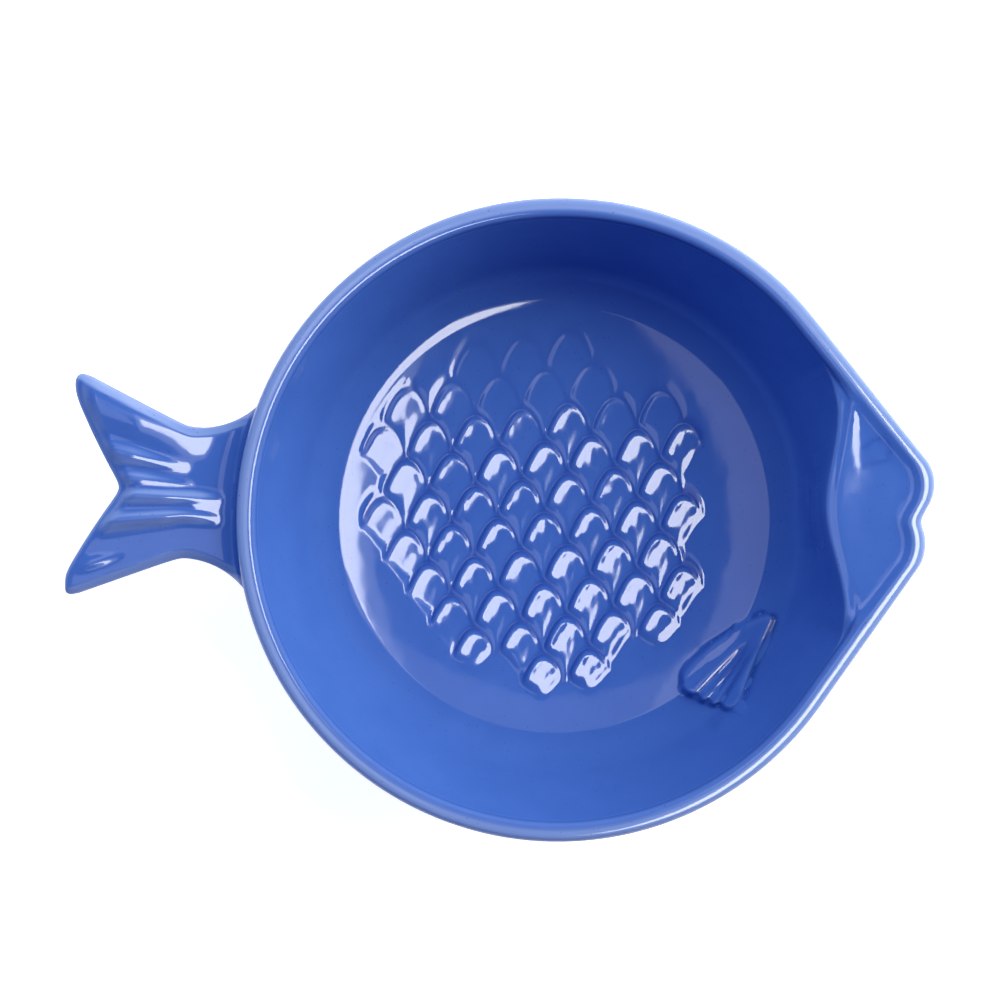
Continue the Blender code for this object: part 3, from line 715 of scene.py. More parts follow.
@dataclass(frozen=True)
class Fin:
    """The side fin: rounded rays that spread from a tip beside the head, over the floor's fillet."""

    tip_radius: float = 68.8 * MM
    tip_angle: float = -24.3
    axis: float = 231.0
    spread: float = 31.0
    long_side: float = 32.5 * MM
    short_side: float = 27.0 * MM
    ray_bounds: tuple[float, ...] = (0.0, 0.36, 0.54, 0.72, 1.0)
    lift: float = 2.7 * MM
    ray_lift: float = 0.35 * MM
    ray_start: float = 7.0 * MM
    ray_run: float = 9.0 * MM
    groove_depth: float = 0.7 * MM
    groove_width: float = 1.2 * MM
    groove_pool: float = 0.7
    foot_pool: float = 0.7 * MM
    foot_share: float = 0.7
    lobe: float = 1.4 * MM
    edge: float = 1.4 * MM
    edge_reach: float = 0.9 * MM
    bulge: float = 3.6 * MM
    side_round: float = 1.2 * MM
    end_round: float = 2.0 * MM
    lobe_power: float = 0.7
    tip_share: float = 0.85

    def turns(self, spots: np.ndarray) -> tuple[np.ndarray, np.ndarray, np.ndarray]:
        """Distance from the tip, angle off the axis, and place across the fin from 0 to 1.

        Args:
            spots: Plan points.

        Returns:
            Distance, angle and place at each point.
        """
        away = spots - polar(np.array(self.tip_radius), np.array(self.tip_angle))
        reach = np.hypot(away[..., 0], away[..., 1])
        off_axis = wrap(np.degrees(np.arctan2(away[..., 1], away[..., 0])) - self.axis)
        return reach, off_axis, np.clip(off_axis / self.spread + 0.5, 0.0, 1.0)

    def ray_part(self, turn: np.ndarray) -> np.ndarray:
        """Place across one ray, from 0 to 1, at places across the fin.

        Args:
            turn: Places across the fin, from 0 to 1.

        Returns:
            Place across its ray at each.
        """
        count = len(self.ray_bounds)
        across = np.clip(np.interp(turn, self.ray_bounds, np.arange(count)), 0.0, count - 1.0 - 1e-6)
        return across - np.floor(across)

    def grooves(self, spots: np.ndarray) -> np.ndarray:
        """Share of a full groove at plan points, 1 along the lines between the rays.

        Args:
            spots: Plan points.

        Returns:
            Share at each point.
        """
        reach, _, turn = self.turns(spots)
        begun = smooth_step((reach - self.ray_start) / self.ray_run)
        depth = np.zeros_like(reach)
        for bound in self.ray_bounds[1:-1]:
            away = np.abs(turn - bound) * math.radians(self.spread) * reach
            depth = np.maximum(depth, 1.0 - smooth_step(away / self.groove_width))
        return depth * begun

    def pooled(self, spots: np.ndarray) -> np.ndarray:
        """Share of a full pool of glaze round the fin's foot and in its grooves, at plan points.

        Args:
            spots: Plan points.

        Returns:
            Share at each point.
        """
        inside = self.inside(spots, self.bulge)
        foot = self.foot_share * np.exp(-(((inside + self.edge_reach) / self.foot_pool) ** 2))
        return np.maximum(foot, self.groove_pool * self.grooves(spots) * (inside > 0.0))

    def inside(self, spots: np.ndarray, bulge: float = 0.0) -> np.ndarray:
        """Distance inside the fin's lobed outline at plan points, below 0 outside it.

        Args:
            spots: Plan points.
            bulge: How far the long side bows out.

        Returns:
            Distance at each point.
        """
        reach, off_axis, turn = self.turns(spots)
        half = self.spread / 2.0
        ahead = np.abs(off_axis) < 90.0
        first = np.where(ahead, reach * np.sin(np.radians(off_axis + half)), -reach)
        second = np.where(ahead, reach * np.sin(np.radians(half - off_axis)), -reach)
        length = self.long_side + (self.short_side - self.long_side) * turn
        lobes = self.lobe * np.sin(np.pi * self.ray_part(turn)) ** self.lobe_power
        arch = np.sin(np.pi * np.clip(reach / self.long_side, 0.0, 1.0))
        sides = corner(first + bulge * np.sqrt(arch), second, self.side_round)
        return corner(sides, length + lobes - reach, self.end_round)

    def relief(self, spots: np.ndarray) -> np.ndarray:
        """Height of the fin over the plain form at plan points.

        Args:
            spots: Plan points.

        Returns:
            Height at each point.
        """
        reach, _, turn = self.turns(spots)
        inside = self.inside(spots, self.bulge)
        share = np.clip(reach / self.long_side, 0.0, 1.0)
        begun = smooth_step((reach - self.ray_start) / self.ray_run)
        rays = self.ray_lift * np.sin(np.pi * self.ray_part(turn)) * begun
        rays = rays - self.groove_depth * self.grooves(spots)
        height = self.lift * (self.tip_share + (1.0 - self.tip_share) * share) + rays
        return smooth_step((inside + self.edge_reach) / self.edge) * height


@dataclass(frozen=True)
class Eye:
    """The eye: a low ring on the head's level top."""

    angle: float = 12.1
    setback: float = 10.5 * MM
    radius: float = 3.6 * MM
    lift: float = 0.025 * MM
    dimple: float = 0.03 * MM
    ring_pool: float = 0.55
    ring_width: float = 0.7 * MM
    ring_slope: float = 1.3 * MM
    dimple_slope: float = 1.4 * MM

    def away(self, spots: np.ndarray, outline: FishOutline) -> np.ndarray:
        """Distance of plan points from the eye's centre.

        Args:
            spots: Plan points.
            outline: The fish's outline, which the head's top follows.

        Returns:
            Distance at each point.
        """
        angle = np.array(self.angle)
        centre = polar(outline.rim(angle) - self.setback, angle)
        return np.hypot(*(spots - centre).T)

    def pooled(self, spots: np.ndarray, outline: FishOutline) -> np.ndarray:
        """Share of a full pool of glaze round the eye's ring at plan points."""
        off_ring = self.away(spots, outline) - self.radius
        return self.ring_pool * np.exp(-((off_ring / self.ring_width) ** 2))

    def relief(self, spots: np.ndarray, outline: FishOutline) -> np.ndarray:
        """Height of the eye over the head's top at plan points.

        Args:
            spots: Plan points.
            outline: The fish's outline, which the head's top follows.

        Returns:
            Height at each point.
        """
        away = self.away(spots, outline)
        ring = self.lift * smooth_step((self.radius - away) / self.ring_slope)
        inner = self.radius - self.ring_slope
        return ring - self.dimple * smooth_step((inner - away) / self.dimple_slope)


@dataclass(frozen=True)
class BrowRidge:
    """A faint ridge on the head's top, along the upper part of the hollow's edge."""

    start: float = -16.0
    end: float = 25.0
    slow_fade: float = 32.0
    fade: float = 5.0
    setback: float = 3.6 * MM
    width: float = 1.8 * MM
    lift: float = 0.27 * MM

    def relief(self, spots: np.ndarray, outline: FishOutline) -> np.ndarray:
        """Height of the ridge over the head's top at plan points.

        Args:
            spots: Plan points.
            outline: The fish's outline, which the head's top follows.

        Returns:
            Height at each point.
        """
        degrees = np.degrees(np.arctan2(spots[:, 1], spots[:, 0]))
        from_edge = np.hypot(spots[:, 0], spots[:, 1]) - outline.hollow_edge(degrees)
        along = smooth_step((degrees - self.start) / self.slow_fade)
        along = along * smooth_step((self.end - degrees) / self.fade)
        return self.lift * along * np.exp(-(((from_edge - self.setback) / self.width) ** 2))


@dataclass(frozen=True)
class Ridge:
    """One ray of the tail: a low ridge that grows toward the tail's end.

    Args:
        column: Where it runs, from -1 at one side of the tail to 1 at the other.
        width: Its half width in the same measure.
        lift: Its full height.
        start: How far from the wall it starts.
        run: How far it runs until it has its full height.
    """

    column: float
    width: float
    lift: float
    start: float
    run: float

    def height(self, column: np.ndarray, away: np.ndarray) -> np.ndarray:
        """Height at places across the tail and away from the wall."""
        grown = np.clip((away - self.start) / self.run, 0.0, 1.0)
        return self.lift * grown * np.exp(-(((column - self.column) / self.width) ** 2))


@dataclass(frozen=True)
class Tail:
    """The forked tail: a fluted plate with rounded borders that grows out of the wall under the rim."""

    bowl_radius: float = 90.5 * MM
    angle: float = 175.8
    length: float = 51.10 * MM
    fork: float = 17.7 * MM
    fork_round: float = 0.06
    skew: float = -0.4 * MM
    root_width: float = 53.0 * MM
    waist_width: float = 37.0 * MM
    waist_setback: float = 13.5 * MM
    flare: float = 0.44
    flare_start: float = 2.0 * MM
    root_fillet: float = 23.6 * MM
    fillet_limit: float = 0.95
    tip_round: float = 8.0 * MM
    tip_share: float = 0.69
    top: float = 44.75 * MM
    thickness: float = 9.0 * MM
    root_depth: float = 3.0 * MM
    root_run: float = 11.0 * MM
    root_blend: float = 6.0 * MM
    border: float = 2.5 * MM
    side_band: float = 0.64
    end_band: float = 0.80
    rise: float = 3.2 * MM
    rise_lean: float = 0.35
    ridges: tuple[Ridge, ...] = (
        Ridge(-0.76, 0.26, 1.60 * MM, 10.0 * MM, 22.0 * MM),
        Ridge(-0.36, 0.10, 1.55 * MM, 14.0 * MM, 17.0 * MM),
        Ridge(-0.11, 0.09, 1.45 * MM, 12.0 * MM, 16.0 * MM),
        Ridge(0.07, 0.08, 1.60 * MM, 3.0 * MM, 17.0 * MM),
        Ridge(0.36, 0.08, 1.60 * MM, 3.0 * MM, 17.0 * MM),
        Ridge(0.21, 0.18, 0.95 * MM, 3.0 * MM, 9.0 * MM),
        Ridge(0.74, 0.06, 0.45 * MM, 32.0 * MM, 8.0 * MM),
    )
    crease: float = 0.75
    end_steps: int = 5
    flute_gap: float = 0.6
    flute_fade: float = 1.2
    blend_power: float = 2.3
    window_rise: float = 1.6 * MM
    column_bunching: float = 1.2
    station_power: float = 1.5

    def axes(self) -> tuple[np.ndarray, np.ndarray]:
        """Directions along the tail and across it, in plan."""
        along = polar(np.array(1.0), np.array(self.angle))
        return along, np.array((-along[1], along[0]))

    def half_width(self, reach: np.ndarray) -> np.ndarray:
        """Half the tail's width at distances from the bowl's axis.

        Args:
            reach: Distances from the bowl's axis.

        Returns:
            Half width at each distance.
        """
        past = reach - self.bowl_radius - self.waist_setback
        flared = self.flare * (np.hypot(past, self.flare_start) - self.flare_start)
        back = np.minimum(-np.minimum(past, 0.0), self.root_fillet * self.fillet_limit)
        root = self.root_fillet - np.sqrt(self.root_fillet**2 - back**2)
        return self.waist_width / 2.0 + np.where(past >= 0.0, flared, root)

    def end_reach(self, column: np.ndarray) -> np.ndarray:
        """Distance of the forked end from the bowl's axis, at places across the tail.

        Args:
            column: Places across the tail, from -1 to 1.

        Returns:
            Distance at each place.
        """
        spread = np.hypot(column, self.fork_round) - self.fork_round
        spread = spread / (math.hypot(1.0, self.fork_round) - self.fork_round)
        turn = np.clip((np.abs(column) - self.tip_share) / (1.0 - self.tip_share), 0.0, 1.0)
        tip = self.tip_round * (1.0 - np.sqrt(1.0 - turn**2))
        return self.bowl_radius + self.length - self.fork * (1.0 - spread) - tip + self.skew * column

    def border_drop(self, out: np.ndarray) -> np.ndarray:
        """Share of the border's fall, from 0 at its crease to 1 at its outer edge."""
        return self.crease * out + (1.0 - self.crease) * (1.0 - np.sqrt(1.0 - out**4))

    def band(
        self, column: np.ndarray, level: np.ndarray, half: np.ndarray
    ) -> tuple[np.ndarray, np.ndarray]:
        """How the plate thins toward its side borders.

        Args:
            column: Places across the tail, from -1 to 1.
            level: Places through the plate, from -1 to 1.
            half: Half the tail's width there.

        Returns:
            Share of the border's fall, and share of the full thickness.
        """
        from_side = np.clip(half * (1.0 - np.abs(column)) / self.border, 0.0, 1.0)
        drop = np.where(np.abs(level) < 1.0, 1.0, self.border_drop(1.0 - from_side))
        return drop, 1.0 - (1.0 - self.side_band) * drop

    def station(self, start: np.ndarray, cross: np.ndarray, share: float, turn: float) -> np.ndarray:
        """Places of one loop round the tail.

        Args:
            start: Places of the loop where it leaves the wall.
            cross: For each place, its column from -1 to 1 and its level from -1 to 1.
            share: How far along the tail, from 0 to 1 where the end's rounding starts.
            turn: How far round the end's rounded border, from 0 to 1.

        Returns:
            Places in the same order.
        """
        column, level = cross.T
        along, side = self.axes()
        root = start[:, :2] @ along
        last = self.end_reach(column) - self.border * (1.0 - math.sin(turn * math.pi / 2.0))
        reach = root + (last - root) * share
        half = self.half_width(reach)
        drop, thin = self.band(column, level, half)
        thin = thin * (self.end_band + (1.0 - self.end_band) * math.cos(turn * math.pi / 2.0))
        middle = self.top - self.thickness / 2.0
        height = middle + level * thin * self.thickness / 2.0
        from_end = self.end_reach(column) - reach - self.flute_gap * self.border
        inset = smooth_step(from_end / (self.flute_fade * self.border))
        fluted = sum(ridge.height(column, reach - root) for ridge in self.ridges) * inset
        past_bowl = np.maximum(reach - self.bowl_radius, 0.0)
        risen = self.rise * (1.0 - self.rise_lean * column) * past_bowl / self.length
        height = height + risen + np.where(level == 1.0, fluted * (1.0 - drop), 0.0)
        height = height - self.sunk(level) * (1.0 - smooth_step((reach - root) / self.root_run))
        spots = along * reach[:, None] + side * (column * half)[:, None]
        places = np.column_stack((spots, height))
        if share < 1.0:
            fade = np.clip(1.0 - (reach - root) / self.root_blend, 0.0, 1.0) ** self.blend_power
            places = places + (start - self.root_places(start, cross)) * fade[:, None]
        return places

    def sunk(self, level: np.ndarray) -> np.ndarray:
        """How much lower the underside lies at the root."""
        return self.root_depth * np.maximum(-level, 0.0)

    def root_places(self, start: np.ndarray, cross: np.ndarray) -> np.ndarray:
        """Where the tail's plain form would meet the wall, without its fillet.

        Args:
            start: Places of the loop where it leaves the wall.
            cross: For each place, its column and its level, from -1 to 1.

        Returns:
            Places in the same order.
        """
        column, level = cross.T
        along, side = self.axes()
        root = start[:, :2] @ along
        half = self.half_width(root)
        _, thin = self.band(column, level, half)
        middle = self.top - self.thickness / 2.0
        height = middle + level * thin * self.thickness / 2.0 - self.sunk(level)
        return np.column_stack((along * root[:, None] + side * (column * half)[:, None], height))

    def grow(
        self, mesh: Skin, grid: list[list[Vert]], degrees: np.ndarray,
        heights: np.ndarray, first_row: int, detail: MeshDetail,
    ) -> None:
        """Opens the wall at the tail's root and extrudes the tail out of the opening.

        Args:
            mesh: Mesh of the bowl's skin.
            grid: Vertices of the section, row by row.
            degrees: Angles of the columns.
            heights: Height of each row beside the tail.
            first_row: First row on the outside.
            detail: How many steps to take along the tail.
        """
        off_axis = wrap(degrees - self.angle)
        limit = math.degrees(math.asin(self.root_width / 2.0 / self.bowl_radius))
        columns = np.nonzero(np.abs(off_axis) <= limit)[0]
        outside = np.arange(first_row, len(heights))
        high = int(outside[np.argmin(np.abs(heights[outside] - (self.top + self.window_rise)))])
        low_height = self.top - self.thickness - self.root_depth
        low = int(outside[np.argmin(np.abs(heights[outside] - low_height))])
        window = {grid[row][column] for row in range(high, low + 1) for column in columns}
        faces = [face for face in mesh.faces if all(vertex in window for vertex in face.verts)]
        bmesh.ops.delete(mesh, geom=faces, context="FACES")
        shares = np.sin(np.radians(off_axis[columns]))
        shares = shares / np.abs(shares).max()
        shares = np.sin(self.column_bunching * shares) / math.sin(self.column_bunching)
        shares[0], shares[-1] = -1.0, 1.0
        sides = np.linspace(1.0, -1.0, low - high + 1)[1:-1]
        loop = [grid[high][column] for column in columns]
        cross = [(share, 1.0) for share in shares]
        loop += [grid[row][columns[-1]] for row in range(high + 1, low)]
        cross += [(1.0, level) for level in sides]
        loop += [grid[low][column] for column in columns[::-1]]
        cross += [(share, -1.0) for share in shares[::-1]]
        loop += [grid[row][columns[0]] for row in range(low - 1, high, -1)]
        cross += [(-1.0, level) for level in sides[::-1]]
        start = coordinates(loop)
        around = np.array(cross)
        parts = np.arange(1, detail.stations + 1) / detail.stations
        steps = [(part**self.station_power, 0.0) for part in parts.tolist()]
        steps += [(1.0, number / self.end_steps) for number in range(1, self.end_steps + 1)]
        for share, turn in steps:
            loop = extrude_loop(mesh, loop, self.station(start, around, share, turn))
        count = len(columns)
        edges = loop_edges(loop)
        side = len(sides) + 1
        upper = edges[: count - 1]
        lower = edges[count - 1 + side : 2 * count - 2 + side]
        bmesh.ops.bridge_loops(mesh, edges=upper + lower)
        gaps = [edge for edge in mesh.edges if edge.is_boundary]
        bmesh.ops.holes_fill(mesh, edges=gaps, sides=side + 1)


@dataclass(frozen=True)
class Noise:
    """A soft noise in a finish.

    Args:
        scale: Features to a metre.
        detail: Octaves.
        rough: Share of the finer octaves.
    """

    scale: float
    detail: float
    rough: float


@dataclass(frozen=True)
class Specks:
    """Small round specks in a finish.

    Args:
        scale: Specks to a metre.
        rim: Distance from a speck's middle where it starts to show.
        core: Distance within which it shows fully.
        share: How strongly it shows.
    """

    scale: float
    rim: float
    core: float
    share: float


@dataclass(frozen=True)
class Bump:
    """A fine unevenness that a finish shows in its gloss.

    Args:
        strength: How strongly it shows.
        distance: Its depth.
    """

    strength: float
    distance: float


class Nodes:
    """A short hand for laying out the shader nodes of one material."""

    def __init__(self, material: bpy.types.Material) -> None:
        """Starts from an empty node tree.

        Args:
            material: Material to lay out.
        """
        material.use_nodes = True
        self.tree = material.node_tree
        self.tree.nodes.clear()

    def add(self, kind: str, **values: object) -> bpy.types.Node:
        """Adds a node and sets its properties.

        Args:
            kind: Type name of the node.
            **values: Properties of the node.

        Returns:
            The node.
        """
        node = self.tree.nodes.new(kind)
        for name, value in values.items():
            setattr(node, name, value)
        return node

    def link(self, source: Socket, target: Socket) -> None:
        """Joins an output to an input."""
        self.tree.links.new(source, target)

    def noise(self, vector: Socket, noise: Noise) -> Socket:
        """Adds soft noise.

        Args:
            vector: Coordinates.
            noise: The noise.

        Returns:
            The noise's value.
        """
        node = self.add("ShaderNodeTexNoise")
        node.inputs["Scale"].default_value = noise.scale
        node.inputs["Detail"].default_value = noise.detail
        node.inputs["Roughness"].default_value = noise.rough
        self.link(vector, node.inputs["Vector"])
        return node.outputs["Fac"]

    def specks(self, vector: Socket, specks: Specks) -> Socket:
        """Adds small round specks.

        Args:
            vector: Coordinates.
            specks: The specks.

        Returns:
            How strongly a speck shows.
        """
        node = self.add("ShaderNodeTexVoronoi", feature="F1")
        node.inputs["Scale"].default_value = specks.scale
        self.link(vector, node.inputs["Vector"])
        return self.range(node.outputs["Distance"], (specks.rim, specks.core), (0.0, specks.share))

    def bump(self, height: Socket, bump: Bump, shader: bpy.types.Node) -> None:
        """Gives a shader a fine unevenness.

        Args:
            height: Height of the unevenness.
            bump: How strong and deep it is.
            shader: Shader that shows it.
        """
        node = self.add("ShaderNodeBump")
        node.inputs["Strength"].default_value = bump.strength
        node.inputs["Distance"].default_value = bump.distance
        self.link(height, node.inputs["Height"])
        self.link(node.outputs["Normal"], shader.inputs["Normal"])

    def show(self, shader: bpy.types.Node) -> None:
        """Makes a shader the material's surface."""
        output = self.add("ShaderNodeOutputMaterial")
        self.link(shader.outputs["BSDF"], output.inputs["Surface"])

    def range(self, value: Socket, source: Pair, target: Pair) -> Socket:
        """Adds a clamped change of range.

        Args:
            value: Value to change.
            source: Range that it comes from.
            target: Range that it goes to.

        Returns:
            The changed value.
        """
        node = self.add("ShaderNodeMapRange")
        node.inputs["From Min"].default_value, node.inputs["From Max"].default_value = source
        node.inputs["To Min"].default_value, node.inputs["To Max"].default_value = target
        self.link(value, node.inputs["Value"])
        return node.outputs["Result"]

    def mix(self, share: Socket, first: Socket | Colour, second: Socket | Colour) -> Socket:
        """Mixes two colours.

        Args:
            share: Share of the second colour.
            first: A socket or a plain colour.
            second: A socket or a plain colour.

        Returns:
            The mixed colour.
        """
        node = self.add("ShaderNodeMix", data_type="RGBA")
        self.link(share, node.inputs["Factor"])
        slots = {item.name: item for item in node.inputs if item.type == "RGBA"}
        for value, slot in ((first, slots["A"]), (second, slots["B"])):
            if isinstance(value, Socket):
                self.link(value, slot)
            else:
                slot.default_value = (*value, 1.0)
        return next(item for item in node.outputs if item.type == "RGBA")


@dataclass(frozen=True)
class BlueGlaze:
    """Blue glass over clay: lighter where it thins over edges, darker where it pools in grooves, and
    lighter on the rim's outside and the outer bevels as a painted reflection of the pale surroundings.
    """

    name: str = "blue_glaze_gloss"
    body: Colour = (0.050, 0.132, 0.462)
    # The thin colour also paints the reflection of the pale surroundings on the rim's outside and the
    # tail's bevels.
    thin: Colour = (0.250, 0.360, 0.660)
    pooled: Colour = (0.016, 0.060, 0.330)
    drift: Colour = (0.060, 0.152, 0.505)
    speck: Colour = (0.012, 0.040, 0.230)
    roughness: Pair = (0.035, 0.07)
    ior: float = 1.55
    clouds: Noise = Noise(70.0, 3.0, 0.55)
    specks: Specks = Specks(420.0, 0.10, 0.06, 0.55)
    gloss_drift: Noise = Noise(160.0, 2.0, 0.5)
    waves: Noise = Noise(95.0, 2.0, 0.45)
    wave_scale: tuple[float, float, float] = (0.7, 0.7, 3.0)
    wave_bump: Bump = Bump(0.5, 0.12 * MM)
    drift_share: float = 0.6
    pool_share: float = 0.85
    thin_share: float = 0.9
    attribute: str = "glaze_depth_and_sheen"

    def material(self) -> bpy.types.Material:
        """Builds the material.

        Returns:
            The material.
        """
        made = bpy.data.materials.new(self.name)
        nodes = Nodes(made)
        place = nodes.add("ShaderNodeTexCoord").outputs["Object"]
        depth = nodes.add("ShaderNodeAttribute", attribute_name=self.attribute).outputs["Fac"]
        cloud = nodes.range(nodes.noise(place, self.clouds), (0.35, 0.75), (0.0, self.drift_share))
        colour = nodes.mix(cloud, self.body, self.drift)
        pool = nodes.range(depth, (0.0, 1.0), (0.0, self.pool_share))
        colour = nodes.mix(pool, colour, self.pooled)
        # Negative depth mixes in the thin colour: glaze thinning over edges, and on the rim and the
        # outer bevels also a painted reflection.
        edge = nodes.range(depth, (0.0, -1.0), (0.0, self.thin_share))
        colour = nodes.mix(edge, colour, self.thin)
        colour = nodes.mix(nodes.specks(place, self.specks), colour, self.speck)
        shader = nodes.add("ShaderNodeBsdfPrincipled")
        nodes.link(colour, shader.inputs["Base Color"])
        rough = nodes.range(nodes.noise(place, self.gloss_drift), (0.3, 0.7), self.roughness)
        nodes.link(rough, shader.inputs["Roughness"])
        shader.inputs["IOR"].default_value = self.ior
        level = nodes.add("ShaderNodeMapping")
        level.inputs["Scale"].default_value = self.wave_scale
        nodes.link(place, level.inputs["Vector"])
        nodes.bump(nodes.noise(level.outputs["Vector"], self.waves), self.wave_bump, shader)
        nodes.show(shader)
        return made


@dataclass(frozen=True)
class BareClay:
    """Fired, unglazed stoneware: warm, matt, fine-grained and flecked with iron."""

    name: str = "bare_clay_matt"
    body: Colour = (0.60, 0.53, 0.43)
    drift: Colour = (0.48, 0.40, 0.30)
    fleck: Colour = (0.22, 0.14, 0.08)
    roughness: float = 0.82
    clouds: Noise = Noise(120.0, 4.0, 0.6)
    specks: Specks = Specks(700.0, 0.22, 0.12, 0.8)
    grain: Noise = Noise(2400.0, 3.0, 0.6)
    grain_bump: Bump = Bump(0.35, 0.2 * MM)

    def material(self) -> bpy.types.Material:
        """Builds the material.

        Returns:
            The material.
        """
        made = bpy.data.materials.new(self.name)
        nodes = Nodes(made)
        place = nodes.add("ShaderNodeTexCoord").outputs["Object"]
        cloud = nodes.range(nodes.noise(place, self.clouds), (0.35, 0.7), (0.0, 1.0))
        colour = nodes.mix(cloud, self.body, self.drift)
        colour = nodes.mix(nodes.specks(place, self.specks), colour, self.fleck)
        shader = nodes.add("ShaderNodeBsdfPrincipled")
        nodes.link(colour, shader.inputs["Base Color"])
        shader.inputs["Roughness"].default_value = self.roughness
        nodes.bump(nodes.noise(place, self.grain), self.grain_bump, shader)
        nodes.show(shader)
        return made


@dataclass(frozen=True)
class PaleFloor:
    """The plain white floor, which shows white to the camera and keeps a soft shadow."""

    name: str = "studio_floor"
    colour: Colour = (0.86, 0.86, 0.87)
    lift: float = 0.86
    roughness: float = 0.9

    def material(self) -> bpy.types.Material:
        """Builds the material.

        Returns:
            The material.
        """
        made = bpy.data.materials.new(self.name)
        nodes = Nodes(made)
        path = nodes.add("ShaderNodeLightPath")
        seen = nodes.add("ShaderNodeMath", operation="MAXIMUM")
        nodes.link(path.outputs["Is Camera Ray"], seen.inputs[0])
        nodes.link(path.outputs["Is Glossy Ray"], seen.inputs[1])
        clear = nodes.add("ShaderNodeMath", operation="MAXIMUM")
        nodes.link(seen.outputs[0], clear.inputs[0])
        nodes.link(path.outputs["Is Transmission Ray"], clear.inputs[1])
        shader = nodes.add("ShaderNodeBsdfPrincipled")
        shader.inputs["Base Color"].default_value = (*self.colour, 1.0)
        shader.inputs["Roughness"].default_value = self.roughness
        shader.inputs["Specular IOR Level"].default_value = 0.0
        shader.inputs["Emission Color"].default_value = (1.0, 1.0, 1.0, 1.0)
        strength = nodes.range(clear.outputs[0], (0.0, 1.0), (0.0, self.lift))
        nodes.link(strength, shader.inputs["Emission Strength"])
        nodes.show(shader)
        return made


